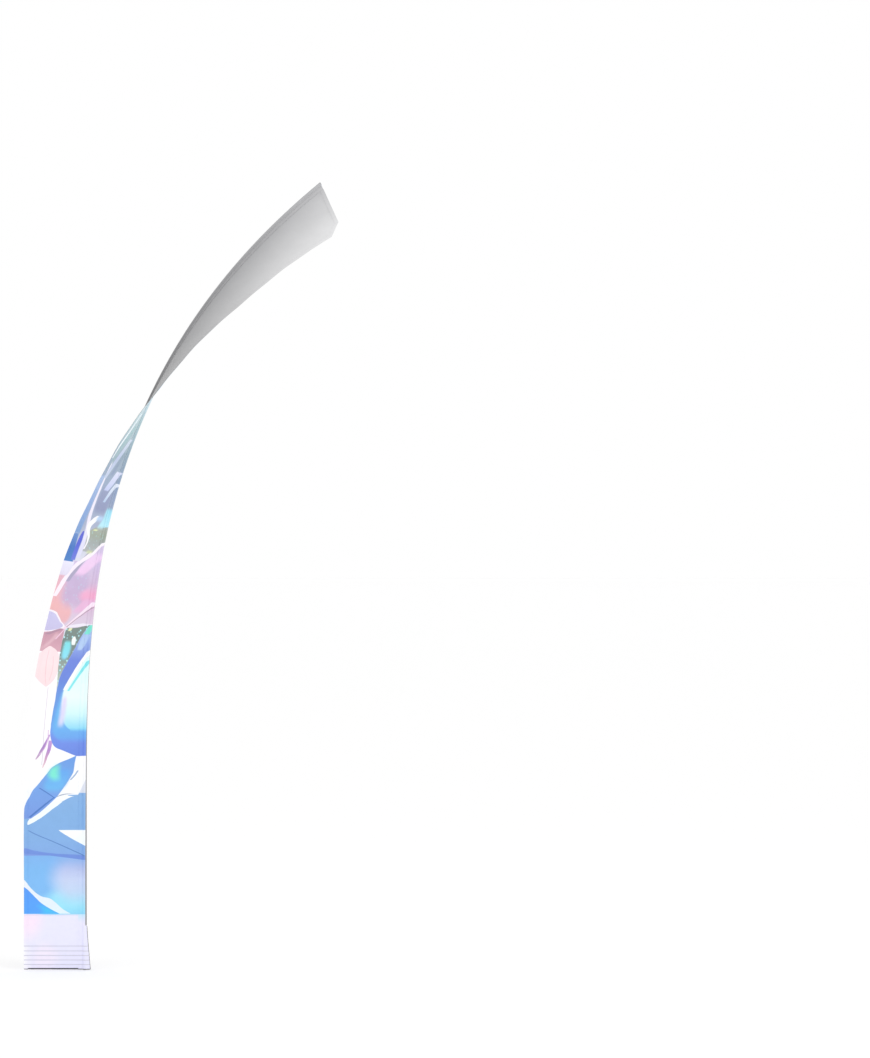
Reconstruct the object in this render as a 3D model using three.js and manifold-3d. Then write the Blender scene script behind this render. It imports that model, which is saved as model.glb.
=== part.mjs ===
// A feather flag on a bent, four-section pole, with its tension gear at the foot.
// Millimetres, +Z up, the foot of the pole at the origin.
import * as THREE from 'three'
import { mergeVertices } from 'three/addons/utils/BufferGeometryUtils.js'
import Module from 'manifold-3d'

const wasm = await Module()
wasm.setup()

// clearances
const gap = 0.3 // between pieces that touch
const slide = 0.4 // between pieces that fit into each other
const clothGap = 0.5 // between sewn layers

// pole line: straight from the foot, then an easing bend towards +X
const poleLength = 3675
const bendStart = 730
const bendSpan = 3956
const bendAngle = THREE.MathUtils.degToRad(60.3)

// the cloth turns about the pole on its way up
const twistStart = 400
const twistEase = 150
const twistRate = THREE.MathUtils.degToRad(0.0463) // per millimetre of pole

// pole sections
const baseTubeRadius = 6
const baseTubeWall = 1.8
const baseTubeTop = 1000
const middleTubeRadius = 5
const middleTubeWall = 1.2
const middleTubeTop = 1900
const upperRodRadius = 4
const upperRodTop = 2800
const tipRodRadius = 3.2
const tipRodEndRadius = 2.2
const tipRodSetback = 24 // from the rod's end to the end of the pole line

// ferrules
const ferruleWall = 0.7
const ferruleGrip = 60 // length over each section
const ferruleRib = 1.2 // stop between the two sections
const ribReach = 1.2 // how far the stop reaches in past the upper section's surface

// foot
const flangeHeight = 3
const flangeRadius = 7
const bushingLength = 60
const spindleRadius = 3.1

// snap button
const buttonHeight = 40 // above the lower ferrule's stop
const buttonRadius = 1.4
const buttonProud = 0.5
const buttonHeadRadius = 2.1
const buttonHeadThick = 0.8
const leafThick = 0.5
const leafWidth = 3
const leafLength = 40

// tip
const capRadius = 4.5
const capGrip = 22
const pocketWall = 1
const pocketDepth = 60

// cloth
const flagWidth = 260
const clothThick = 1
const foldThick = 0.8
const shoulderDrop = 45 // the outer top corner lies this far down the pole
const shoulderWidth = 215
const chamferDrop = 112
const sleeveRadius = 7.8
const tailWidth = 19
const hemWidth = 16
const bandHeight = 236
const mouthHeight = 190
const mouthFlare = 1.85 // extra half-width at the foot, as a share of the sleeve's
const mouthDepth = 0.6
const mouthWindowHeight = 62
const mouthWindowWidth = 22
const bindingHeight = 4
const pipingRadius = 1.1
const pipingTop = 176
const clothStrips = 4
const sleeveSides = 8

// tension gear
const collarThick = 1
const collarHeight = 20
const collarBase = 12
const studRadius = 2
const studLength = 10
const studHeadRadius = 3.4
const studHeadThick = 2
const hookThick = 5.6
const hookWire = 4 // the hook's own width all round its opening
const hookOpening = 4 // half the opening's height
const hookReach = 20 // between the middles of the opening's round ends
const hookSlotLength = 3
const hookBar = 2.6 // the bar past the slot, which the strap goes round
const gateThick = 2.8
const gateHeight = 3.4
const gateMouth = 12 // the mouth that the gate shuts
const pinRadius = 0.8
const strapWidth = 10
const strapThick = 1.2
const ringRadius = 11
const ringWire = 1.2
const ringFromPole = 92
const ringStandOff = 6.6
const tabWidth = 14
const tabLength = 46
const tabThick = 1

// sizes that follow
const sleeveOuter = sleeveRadius + foldThick
const foldInner = clothThick / 2 + clothGap
const foldOuter = foldInner + foldThick
const tailEnd = sleeveOuter + tailWidth
const clothStart = sleeveOuter + 1
const gearHeight = collarBase + collarHeight / 2
const studRoot = baseTubeRadius + slide + collarThick

const flag = new THREE.Group()

// a part's material and mesh, added to the flag
function add(name, geometry, color, roughness, metalness = 0) {
  const material = new THREE.MeshStandardMaterial({ color, roughness, metalness })
  const mesh = new THREE.Mesh(geometry, material)
  mesh.name = name
  flag.add(mesh)
  return mesh
}

// lean of the pole from upright at a length along it
function leanAt(along) {
  return bendAngle * THREE.MathUtils.smoothstep(along, bendStart, bendStart + bendSpan)
}

// turn of the cloth about the pole at a length along it
function twistAt(along) {
  const past = Math.max(along - twistStart, 0)
  if (past < twistEase) return twistRate * past * past / (2 * twistEase)
  return twistRate * (past - twistEase / 2)
}

// the pole's centre line, added up in short steps
const lineStep = 5
const linePoints = [new THREE.Vector3()]
for (let along = 0; along < poleLength; along += lineStep) {
  const lean = leanAt(along + lineStep / 2)
  const last = linePoints[linePoints.length - 1]
  const step = new THREE.Vector3(Math.sin(lean), 0, Math.cos(lean)).multiplyScalar(lineStep)
  linePoints.push(last.clone().add(step))
}

function lineAt(along) {
  const place = THREE.MathUtils.clamp(along / lineStep, 0, linePoints.length - 1.001)
  const index = Math.floor(place)
  return linePoints[index].clone().lerp(linePoints[index + 1], place - index)
}

// Carries a flat layout on to the pole: x runs out across the cloth, y through
// its thickness towards the printed face, z along the pole.
function carry(geometry, twisted = true) {
  const place = geometry.getAttribute('position')
  for (let i = 0; i < place.count; i++) {
    const along = place.getZ(i)
    const lean = leanAt(along)
    const twist = twisted ? twistAt(along) : 0
    const side = new THREE.Vector3(-Math.cos(lean), 0, Math.sin(lean))
    const face = new THREE.Vector3(0, -1, 0)
    const across = side.clone().multiplyScalar(Math.cos(twist)).addScaledVector(face, Math.sin(twist))
    const through = side.clone().multiplyScalar(-Math.sin(twist)).addScaledVector(face, Math.cos(twist))
    const point = lineAt(Math.min(along, poleLength))
    if (along > poleLength) {
      point.addScaledVector(new THREE.Vector3(Math.sin(lean), 0, Math.cos(lean)), along - poleLength)
    }
    point.addScaledVector(across, place.getX(i)).addScaledVector(through, place.getY(i))
    place.setXYZ(i, point.x, point.y, point.z)
  }
  geometry.computeVertexNormals()
  return geometry
}

// lengths along the pole at which a piece has its sections
function stations(from, to, step) {
  const count = Math.max(1, Math.ceil((to - from) / step))
  return Array.from({ length: count + 1 }, (_, i) => from + (to - from) * i / count)
}

// a section swept through a list of lengths along the pole, still flat
function sweep(shape, places) {
  const geometry = new THREE.ExtrudeGeometry(shape, {
    depth: places.length - 1, steps: places.length - 1, bevelEnabled: false, curveSegments: 5
  })
  const place = geometry.getAttribute('position')
  for (let i = 0; i < place.count; i++) place.setZ(i, places[Math.round(place.getZ(i))])
  return geometry
}

function eachPoint(geometry, change) {
  const place = geometry.getAttribute('position')
  for (let i = 0; i < place.count; i++) {
    const moved = change(place.getX(i), place.getY(i), place.getZ(i))
    place.setXYZ(i, ...moved)
  }
  return geometry
}

function polygon(points) {
  return new THREE.Shape(points.map(([x, y]) => new THREE.Vector2(x, y)))
}

// a solid for cuts and joins
function solid(geometry) {
  const bare = geometry.clone()
  bare.deleteAttribute('normal')
  bare.deleteAttribute('uv')
  const merged = mergeVertices(bare, 1e-4)
  return new wasm.Manifold(new wasm.Mesh({
    numProp: 3,
    vertProperties: Float32Array.from(merged.getAttribute('position').array),
    triVerts: Uint32Array.from(merged.getIndex().array)
  }))
}

function geometryOf(body) {
  const mesh = body.getMesh()
  const geometry = new THREE.BufferGeometry()
  geometry.setAttribute('position', new THREE.BufferAttribute(mesh.vertProperties, 3))
  geometry.setIndex(new THREE.BufferAttribute(mesh.triVerts, 1))
  geometry.computeVertexNormals()
  return geometry
}

function box(x0, x1, y0, y1, z0, z1) {
  return new THREE.BoxGeometry(x1 - x0, y1 - y0, z1 - z0)
    .translate((x0 + x1) / 2, (y0 + y1) / 2, (z0 + z1) / 2)
}

// a round bar along an axis from one point
function bar(radius, length, axis, from, sides = 16) {
  const up = new THREE.Vector3(0, 1, 0)
  return new THREE.CylinderGeometry(radius, radius, length, sides)
    .translate(0, length / 2, 0)
    .applyQuaternion(new THREE.Quaternion().setFromUnitVectors(up, axis))
    .translate(from.x, from.y, from.z)
}

// a turned ring or cup: radius and height pairs, round a closed loop or from axis to axis
function turned(profile, sides = 16) {
  return new THREE.LatheGeometry(profile.map(([r, z]) => new THREE.Vector2(r, z)), sides)
    .rotateX(Math.PI / 2)
}

const poleSides = 12
const poleStep = 50
const footStep = 365
const toBack = new THREE.Vector3(0, 1, 0)
const upward = new THREE.Vector3(0, 0, 1)

function ringShape(outer, inner) {
  const corner = (i, r) => new THREE.Vector2(r * Math.cos(i * Math.PI * 2 / poleSides),
    r * Math.sin(i * Math.PI * 2 / poleSides))
  const count = Array.from({ length: poleSides }, (_, i) => i)
  const shape = new THREE.Shape(count.map(i => corner(i, outer)))
  if (inner) shape.holes.push(new THREE.Path(count.map(i => corner(i, inner)).reverse()))
  return shape
}

// stations on the pole line, few where it is straight
function poleStations(from, to) {
  if (from >= bendStart || to <= bendStart) return stations(from, to, to <= bendStart ? footStep : poleStep)
  return [...stations(from, bendStart, footStep), ...stations(bendStart, to, poleStep).slice(1)]
}

// a tube or rod along the pole line
function section(outer, inner, from, to) {
  return carry(sweep(ringShape(outer, inner), poleStations(from, to)), false)
}

// The bearing liner: a flanged bush inside the foot of the pole, which turns on a base's spindle.
function spindleBushing() {
  const outer = baseTubeRadius - baseTubeWall - slide
  return turned([
    [spindleRadius, 0], [flangeRadius, 0], [flangeRadius, flangeHeight], [outer, flangeHeight],
    [outer, bushingLength], [spindleRadius, bushingLength], [spindleRadius, 0]
  ])
}

// A stepped ferrule over the ends of two sections, with a stop between them.
function ferrule(lowerRadius, upperRadius, joint) {
  const lowerBore = lowerRadius + slide
  const upperBore = upperRadius + slide
  const seat = joint + ferruleRib / 2
  const lower = section(lowerBore + ferruleWall, lowerBore, joint - ferruleGrip, seat)
  const rib = section(lowerBore + ferruleWall / 2, upperRadius - ribReach, joint, joint + ferruleRib)
  const upper = section(upperBore + ferruleWall, upperBore, seat, joint + ferruleRib + ferruleGrip)
  return solid(lower).add(solid(rib)).add(solid(upper))
}

// the snap button's line: through the lower ferrule and the middle tube, towards the back
const buttonAlong = baseTubeTop + gap + ferruleRib + buttonHeight
const buttonTip = middleTubeRadius + slide + ferruleWall + buttonProud
const buttonCentre = lineAt(buttonAlong)

function cutButtonHole(body) {
  return body.subtract(solid(bar(buttonRadius + slide, buttonTip + 1, toBack, buttonCentre)))
}

// the button's broad root stops against the tube's bore
const buttonRoot = Math.sqrt((middleTubeRadius - middleTubeWall) ** 2 - buttonHeadRadius ** 2) - gap

function snapButton() {
  const rootSink = 0.2
  const from = depth => buttonCentre.clone().addScaledVector(toBack, depth)
  const neck = bar(buttonRadius, buttonTip - buttonRoot + rootSink, toBack, from(buttonRoot - rootSink), 12)
  const head = bar(buttonHeadRadius, buttonHeadThick, toBack, from(buttonRoot - buttonHeadThick), 12)
  return geometryOf(solid(neck).add(solid(head)))
}

// A folded leaf inside the middle tube that pushes the button out.
function buttonSpring() {
  const near = buttonRoot - buttonHeadThick - gap
  const far = middleTubeRadius - middleTubeWall - 1
  const shape = polygon([
    [near, leafLength / 2], [near - leafThick, leafLength / 2],
    [-far + leafThick * 1.5, -leafLength / 2], [-far + leafThick, leafLength * 0.3],
    [-far, leafLength * 0.3], [-far, -leafLength / 2 - 2], [-far + leafThick * 2.5, -leafLength / 2 - 2]
  ])
  const geometry = new THREE.ExtrudeGeometry(shape, { depth: leafWidth, bevelEnabled: false })
  // the section's x goes to the back, its y along the pole
  geometry.translate(0, 0, -leafWidth / 2)
  geometry.applyMatrix4(new THREE.Matrix4().makeBasis(toBack, upward, new THREE.Vector3(1, 0, 0)))
  const lean = leanAt(buttonAlong)
  return geometry.rotateY(lean).translate(buttonCentre.x, buttonCentre.y, buttonCentre.z)
}

// A solid rod that narrows towards the tip.
function tipRod(from, to) {
  const geometry = sweep(ringShape(1), poleStations(from, to))
  eachPoint(geometry, (x, y, z) => {
    const share = (z - from) / (to - from)
    const radius = THREE.MathUtils.lerp(tipRodRadius, tipRodEndRadius, share)
    return [x * radius, y * radius, z]
  })
  return carry(geometry, false)
}

// a straight turned piece set on the pole line at a length along it
function onLine(geometry, along) {
  const point = lineAt(along)
  return geometry.rotateY(leanAt(along)).translate(point.x, point.y, point.z)
}

function tipCap(along) {
  const bore = tipRodEndRadius + slide + 0.2
  const profile = [[bore, -capGrip], [bore + 1, -capGrip], [bore + 1, -capRadius * 0.8]]
  for (let i = -3; i <= 6; i++) {
    const turn = i * Math.PI / 12
    profile.push([capRadius * Math.cos(turn), capRadius * Math.sin(turn)])
  }
  profile[profile.length - 1][0] = 0
  profile.push([0, 1], [bore, 1], [bore, -capGrip])
  return onLine(turned(profile), along)
}

function tipPocket(top) {
  const outer = sleeveRadius * Math.cos(Math.PI / sleeveSides) - slide - gap
  return onLine(turned([
    [0, -pocketWall], [outer - pocketWall * 2, -pocketWall], [outer - pocketWall, -pocketWall * 2],
    [outer - pocketWall, -pocketDepth], [outer, -pocketDepth], [outer, -pocketWall],
    [outer - pocketWall, 0], [0, 0]
  ]), top)
}

// Cloth outline: how far the free edge lies from the pole at a length along it.
function edgeAt(along) {
  const fromTop = poleLength - along
  if (fromTop > chamferDrop) return flagWidth
  if (fromTop > shoulderDrop) {
    return THREE.MathUtils.mapLinear(fromTop, chamferDrop, shoulderDrop, flagWidth, shoulderWidth)
  }
  return THREE.MathUtils.mapLinear(fromTop, shoulderDrop, 0, shoulderWidth, tailEnd)
}

const straightStep = 100
const clothStep = 50
const topStep = 18

// stations that lie wide on the straight foot and close together near the top corner
function clothStations(from, to) {
  const marks = [from, twistStart, poleLength - chamferDrop, poleLength - shoulderDrop, to]
    .filter(mark => mark >= from && mark <= to)
  const steps = { [twistStart]: straightStep, [poleLength - chamferDrop]: clothStep }
  const places = [from]
  for (let i = 1; i < marks.length; i++) {
    if (marks[i] - marks[i - 1] < 1) continue
    places.push(...stations(marks[i - 1], marks[i], steps[marks[i]] ?? topStep).slice(1))
  }
  return places
}

// The flag's cloth: one printed layer with a grey back.
function flagCloth(from, to) {
  const half = clothThick / 2
  const innerMarks = stations(tailEnd, flagWidth - hemWidth, (flagWidth - hemWidth - tailEnd) / clothStrips)
  const marks = [clothStart, ...innerMarks, flagWidth]
  const shape = polygon([
    ...marks.map(x => [x, -half]),
    ...marks.map(x => [x, half]).reverse()
  ])
  const geometry = sweep(shape, clothStations(from, to))
  eachPoint(geometry, (x, y, z) => {
    const share = (x - clothStart) / (flagWidth - clothStart)
    return [THREE.MathUtils.lerp(clothStart, edgeAt(z), share), y, z]
  })
  return carry(geometry)
}

// The sleeve's section: a loop round the pole whose two tails lie either side of the cloth.
function sleeveShape() {
  const points = []
  const outerStart = Math.asin(foldOuter / sleeveOuter)
  const innerStart = Math.asin(foldInner / sleeveRadius)
  points.push([tailEnd, foldInner], [tailEnd, foldOuter])
  for (let i = 0; i <= sleeveSides; i++) {
    const turn = outerStart + (Math.PI * 2 - 2 * outerStart) * i / sleeveSides
    points.push([sleeveOuter * Math.cos(turn), sleeveOuter * Math.sin(turn)])
  }
  points.push([tailEnd, -foldOuter], [tailEnd, -foldInner])
  for (let i = sleeveSides; i >= 0; i--) {
    const turn = innerStart + (Math.PI * 2 - 2 * innerStart) * i / sleeveSides
    points.push([sleeveRadius * Math.cos(turn), sleeveRadius * Math.sin(turn)])
  }
  return polygon(points)
}

function poleSleeve(from, to) {
  return carry(sweep(sleeveShape(), clothStations(from, to)))
}

// How far the mouth opens at a height, from none at its top to all at the foot.
function openingAt(height) {
  return Math.pow(1 - THREE.MathUtils.clamp(height / mouthHeight, 0, 1), 1.2)
}

function flare(x, y, z) {
  const open = openingAt(z)
  const share = THREE.MathUtils.clamp((sleeveRadius - x) / sleeveRadius, 0, 1)
  const wide = x < 0 ? x * (1 + mouthFlare * open) : x
  return [wide, y * (1 + mouthDepth * open * share), z]
}

// The flared cuff, with a window at the back for the tension hook.
function sleeveMouth(from, to) {
  const geometry = eachPoint(sweep(sleeveShape(), stations(from, to, 20)), flare)
  const half = mouthWindowWidth / 2
  const window = box(-half, sleeveRadius, -sleeveOuter * 4, -foldOuter - gap, from - 1, mouthWindowHeight)
  const cut = solid(geometry).subtract(solid(window))
  return carry(geometryOf(cut))
}

// Dark piping down the cuff's outer edge.
function mouthPiping(from, to) {
  const out = height => -(sleeveOuter * (1 + mouthFlare * openingAt(height)) + gap + pipingRadius)
  const path = new THREE.CatmullRomCurve3(stations(from, to, 20)
    .map(z => new THREE.Vector3(-out(z), 0, z)))
  const shape = new THREE.Shape().absarc(0, 0, pipingRadius, 0, Math.PI * 2)
  return new THREE.ExtrudeGeometry(shape, { steps: 12, extrudePath: path, curveSegments: 4 })
}

// A strip folded round an edge: its fold lies just past the edge at x = 0.
function foldShape(width) {
  const reach = clothGap
  return polygon([
    [-width, foldInner], [reach, foldInner], [reach, -foldInner], [-width, -foldInner],
    [-width, -foldOuter], [reach + foldThick, -foldOuter], [reach + foldThick, foldOuter], [-width, foldOuter]
  ])
}

function freeEdgeHem(from, to) {
  const geometry = sweep(foldShape(hemWidth), clothStations(from, to))
  eachPoint(geometry, (x, y, z) => [edgeAt(z) + x, y, z])
  return carry(geometry)
}

// The hem over the slanting top edge, from the sleeve's tails to the outer corner.
function topHem() {
  const from = tailEnd + 2
  const to = shoulderWidth - hemWidth
  const geometry = sweep(foldShape(hemWidth), stations(from, to, topStep))
  eachPoint(geometry, (x, y, z) => {
    const share = (z - tailEnd) / (shoulderWidth - tailEnd)
    return [z, -y, poleLength - shoulderDrop * share + x]
  })
  return carry(geometry)
}

// The white band: two plies either side of the cloth, joined under its lower edge.
function bottomBand(from, to) {
  const shape = foldShape(bandHeight - bindingHeight)
  const geometry = new THREE.ExtrudeGeometry(shape, { depth: to - from, bevelEnabled: false })
  const lowest = bindingHeight + clothGap + foldThick
  return carry(eachPoint(geometry, (x, y, z) => [z + from, y, lowest - x]), false)
}

function bottomBinding(from, to) {
  return carry(box(from, to, -foldOuter, foldOuter, gap, bindingHeight - gap))
}

// Tension gear, laid out behind the band. Back is +Y and the flag runs to -X.
const studEnd = studRoot + studLength
const gearLine = studEnd - studHeadThick - clothGap - hookThick / 2
const ringCentre = new THREE.Vector3(-ringFromPole, ringStandOff, gearHeight)

// A clamp ring on the base tube with a headed stud at the back.
function footCollar() {
  const ring = turned([
    [baseTubeRadius + slide, collarBase], [studRoot, collarBase],
    [studRoot, collarBase + collarHeight], [baseTubeRadius + slide, collarBase + collarHeight],
    [baseTubeRadius + slide, collarBase]
  ])
  const rootSink = 0.4
  const root = new THREE.Vector3(0, studRoot - rootSink, gearHeight)
  const stud = bar(studRadius, studLength + rootSink, toBack, root)
  const head = bar(studHeadRadius, studHeadThick, toBack,
    new THREE.Vector3(0, studEnd - studHeadThick, gearHeight))
  return geometryOf(solid(ring).add(solid(stud)).add(solid(head)))
}

// The snap hook lies flat behind the stud's root: its opening holds the stud's neck
// at one end, and its strap slot is at the other.
const hookOuter = hookOpening + hookWire
const noseCentre = studRadius + gap - hookOpening
const heelCentre = noseCentre - hookReach
const gatePivot = new THREE.Vector3(heelCentre, gearLine, gearHeight + hookOpening + hookWire / 2)
const mouthStart = heelCentre + gateHeight / 2 + gap
const slotRight = heelCentre - hookOuter
const slotLeft = slotRight - hookSlotLength
const barMiddle = slotLeft - hookBar / 2

// a flat plate with round ends, standing on edge along the gear's line
function longPlate(radius, thick) {
  const shape = new THREE.Shape()
  shape.absarc(noseCentre, 0, radius, -Math.PI / 2, Math.PI / 2)
  shape.absarc(heelCentre, 0, radius, Math.PI / 2, Math.PI * 1.5)
  return new THREE.ExtrudeGeometry(shape, { depth: thick, bevelEnabled: false, curveSegments: 8 })
    .rotateX(Math.PI / 2).translate(0, gearLine + thick / 2, gearHeight)
}

// a block across the hook's thickness, from values along X and heights above the gear's line
function block(x0, x1, thick, low, high) {
  return solid(box(x0, x1, gearLine - thick / 2, gearLine + thick / 2, gearHeight + low, gearHeight + high))
}

function snapHook() {
  const eyeHalf = strapWidth / 2 + slide
  const eye = block(barMiddle - hookBar / 2, heelCentre, hookThick, -eyeHalf - hookBar, eyeHalf + hookBar)
  const slot = block(slotLeft, slotRight, hookThick * 2, -eyeHalf, eyeHalf)
  const opening = solid(longPlate(hookOpening, hookThick * 2))
  const mouth = block(mouthStart, mouthStart + gateMouth, hookThick * 2, 0, hookOuter + 1)
  const reach = gateHeight / 2 + gap
  const gateSlot = block(heelCentre - reach, mouthStart + 1, gateThick + 2 * gap,
    hookOpening - hookWire / 2, hookOuter + 1)
  const pinHole = solid(bar(pinRadius + gap, hookThick * 2, toBack,
    gatePivot.clone().addScaledVector(toBack, -hookThick), 10))
  return geometryOf(solid(longPlate(hookOuter, hookThick)).add(eye).subtract(opening)
    .subtract(slot).subtract(mouth).subtract(gateSlot).subtract(pinHole))
}

// The gate turns on a pin at the heel end of the mouth and swings into the opening.
function hookGate() {
  const from = gatePivot.clone().addScaledVector(toBack, -gateThick / 2)
  const eye = solid(bar(gateHeight / 2, gateThick, toBack, from, 16))
  const rise = hookOpening + hookWire / 2
  const blade = block(gatePivot.x, mouthStart + gateMouth - gap, gateThick,
    rise - gateHeight / 2, rise + gateHeight / 2)
  const pinHole = solid(bar(pinRadius + gap, gateThick * 2, toBack,
    from.clone().addScaledVector(toBack, -gateThick / 2), 10))
  return geometryOf(eye.add(blade).subtract(pinHole))
}

function gatePin() {
  return bar(pinRadius, hookThick, toBack, gatePivot.clone().addScaledVector(toBack, -hookThick / 2), 10)
}

// A loop of elastic webbing round the hook's bar and the ring, sewn together between them.
const strapSeamFromSlot = 12
const strapSeamFromRing = 10
const strapSag = 1
function tensionStrap() {
  const ringEdge = ringCentre.x + ringRadius
  const bow = ringRadius - Math.sqrt(ringRadius ** 2 - (strapWidth / 2) ** 2)
  const half = hookThick / 2 + gap
  const ringHalf = ringWire + slide
  const right = slotLeft + gap
  const left = ringEdge - bow - ringHalf
  const sewnRight = right - strapSeamFromSlot
  const sewnLeft = ringEdge + strapSeamFromRing
  const nearLine = gearLine
  const farLine = ringStandOff
  const t = strapThick
  const outline = polygon([
    [right + t, nearLine - half * 0.6], [right + t, nearLine + half * 0.6], [right, nearLine + half + t],
    [barMiddle - hookBar / 2, nearLine + half + t], [sewnRight, nearLine + t - strapSag],
    [sewnLeft, farLine + t],
    [ringEdge, farLine + ringHalf + t], [left, farLine + ringHalf + t], [left - t, farLine + ringHalf * 0.6],
    [left - t, farLine - ringHalf * 0.6], [left, farLine - ringHalf - t], [ringEdge, farLine - ringHalf - t],
    [sewnLeft, farLine - t], [sewnRight, nearLine - t - strapSag],
    [barMiddle - hookBar / 2, nearLine - half - t],
    [right, nearLine - half - t]
  ])
  const barEdge = barMiddle - hookBar / 2 - gap
  const hookHole = new THREE.Path([
    [right, nearLine - half], [barEdge, nearLine - half], [sewnRight + 4, nearLine - gap],
    [barEdge, nearLine + half], [right, nearLine + half]
  ].map(([x, y]) => new THREE.Vector2(x, y)))
  const ringHole = new THREE.Path([
    [left, farLine - ringHalf], [left, farLine + ringHalf], [ringEdge + gap, farLine + ringHalf],
    [sewnLeft - 3, farLine], [ringEdge + gap, farLine - ringHalf]
  ].map(([x, y]) => new THREE.Vector2(x, y)))
  outline.holes.push(hookHole, ringHole)
  return new THREE.ExtrudeGeometry(outline, { depth: strapWidth, bevelEnabled: false })
    .translate(0, 0, gearHeight - strapWidth / 2)
}

function tensionRing() {
  return new THREE.TorusGeometry(ringRadius, ringWire, 8, 28)
    .rotateX(Math.PI / 2).translate(ringCentre.x, ringCentre.y, ringCentre.z)
}

// Webbing folded round the ring and sewn to the band.
const tabReturn = 16
const tabTurnUnder = 8
function ringTab() {
  const under = foldOuter + gap
  const loop = ringWire + slide
  const farEdge = ringCentre.x - ringRadius - tabLength
  const bow = ringRadius - Math.sqrt(ringRadius ** 2 - (tabWidth / 2) ** 2)
  const bend = ringCentre.x - ringRadius + bow + loop
  const inner = ringCentre.y
  const points = [
    [farEdge, under], [bend, under], [bend + loop, inner - loop], [bend + loop, inner + loop],
    [bend, inner + loop + tabThick], [bend - tabReturn, inner + loop + tabThick],
    [farEdge + tabTurnUnder, under + 2 * tabThick + gap], [farEdge + tabTurnUnder, under + tabThick + gap],
    [bend - tabReturn, inner + loop], [bend, inner + loop],
    [bend + loop - tabThick, inner], [bend, under + tabThick], [farEdge, under + tabThick]
  ]
  return new THREE.ExtrudeGeometry(polygon(points), { depth: tabWidth, bevelEnabled: false })
    .translate(0, 0, ringCentre.z - tabWidth / 2)
}

// colours
const steel = '#9aa0a6'
const fibreglass = '#c9ccd0'
const plastic = '#26272a'
const sleeveCloth = '#b9bdc4'
const white = '#ece9f8'
const webbing = '#2b2a33'

// pole
const footEnd = flangeHeight + gap
const middleFoot = baseTubeTop + gap + ferruleRib + gap
const upperFoot = middleTubeTop + gap + ferruleRib + gap
const tipFoot = upperRodTop + gap + ferruleRib + gap
const rodEnd = poleLength - tipRodSetback
const capCentre = rodEnd + gap

add('spindle_bushing', spindleBushing(), plastic, 0.45)
const baseTube = section(baseTubeRadius, baseTubeRadius - baseTubeWall, footEnd, baseTubeTop)
const lowerFerrule = ferrule(baseTubeRadius, middleTubeRadius, baseTubeTop + gap)
const middleFerrule = ferrule(middleTubeRadius, upperRodRadius, middleTubeTop + gap)
add('base_tube', baseTube, steel, 0.35, 0.9)
add('lower_ferrule', geometryOf(cutButtonHole(lowerFerrule)), steel, 0.3, 1)
const middleTube = section(middleTubeRadius, middleTubeRadius - middleTubeWall, middleFoot, middleTubeTop)
add('middle_tube', geometryOf(cutButtonHole(solid(middleTube))), fibreglass, 0.4)
add('snap_button', snapButton(), steel, 0.25, 1)
add('button_spring', buttonSpring(), steel, 0.3, 1)
add('middle_ferrule', geometryOf(middleFerrule), steel, 0.3, 1)
add('upper_rod', section(upperRodRadius, 0, upperFoot, upperRodTop), fibreglass, 0.4)
add('upper_ferrule', geometryOf(ferrule(upperRodRadius, tipRodRadius, upperRodTop + gap)), steel, 0.3, 1)
add('tip_rod', tipRod(tipFoot, rodEnd), fibreglass, 0.4)
add('tip_cap', tipCap(capCentre), plastic, 0.5)

// flag
const clothFoot = bindingHeight + clothGap + foldThick + clothGap
add('flag_cloth', flagCloth(clothFoot + gap, poleLength), '#9fbbe4', 0.55)
add('pole_sleeve', poleSleeve(mouthHeight + gap, poleLength), sleeveCloth, 0.8)
add('sleeve_mouth', sleeveMouth(gap, mouthHeight), white, 0.75)
add('mouth_piping', mouthPiping(gap, pipingTop), webbing, 0.8)
add('free_edge_hem', freeEdgeHem(gap, poleLength - shoulderDrop), white, 0.7)
add('top_hem', topHem(), sleeveCloth, 0.75)
add('bottom_band', bottomBand(tailEnd + gap, flagWidth - hemWidth - gap), white, 0.65)
add('bottom_binding', bottomBinding(tailEnd + gap, flagWidth - hemWidth - gap), webbing, 0.8)
add('tip_pocket', tipPocket(poleLength), webbing, 0.85)

// tension gear
add('foot_collar', footCollar(), plastic, 0.45)
add('snap_hook', snapHook(), steel, 0.3, 1)
add('hook_gate', hookGate(), steel, 0.25, 1)
add('gate_pin', gatePin(), steel, 0.25, 1)
add('tension_strap', tensionStrap(), webbing, 0.85)
add('ring_tab', ringTab(), webbing, 0.85)
add('tension_ring', tensionRing(), steel, 0.25, 1)

export default flag
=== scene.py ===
import math
import bpy
import numpy as np
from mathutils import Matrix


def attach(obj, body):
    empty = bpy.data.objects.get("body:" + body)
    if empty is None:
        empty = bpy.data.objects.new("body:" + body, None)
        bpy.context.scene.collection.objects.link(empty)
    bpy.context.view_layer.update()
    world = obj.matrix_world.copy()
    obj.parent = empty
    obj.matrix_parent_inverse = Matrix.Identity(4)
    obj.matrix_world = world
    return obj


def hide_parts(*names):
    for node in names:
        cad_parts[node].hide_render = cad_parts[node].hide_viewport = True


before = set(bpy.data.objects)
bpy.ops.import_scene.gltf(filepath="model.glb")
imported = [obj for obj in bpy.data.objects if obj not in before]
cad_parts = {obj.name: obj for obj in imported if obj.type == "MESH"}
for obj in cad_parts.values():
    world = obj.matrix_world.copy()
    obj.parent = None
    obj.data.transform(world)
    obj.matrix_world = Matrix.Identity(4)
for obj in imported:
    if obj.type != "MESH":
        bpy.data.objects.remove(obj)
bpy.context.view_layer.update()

print("feather flag: frame loaded")

mm = 0.001
flagBody = "pole_and_flag"

# line of the pole and lay of the cloth, all in millimetres

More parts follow.
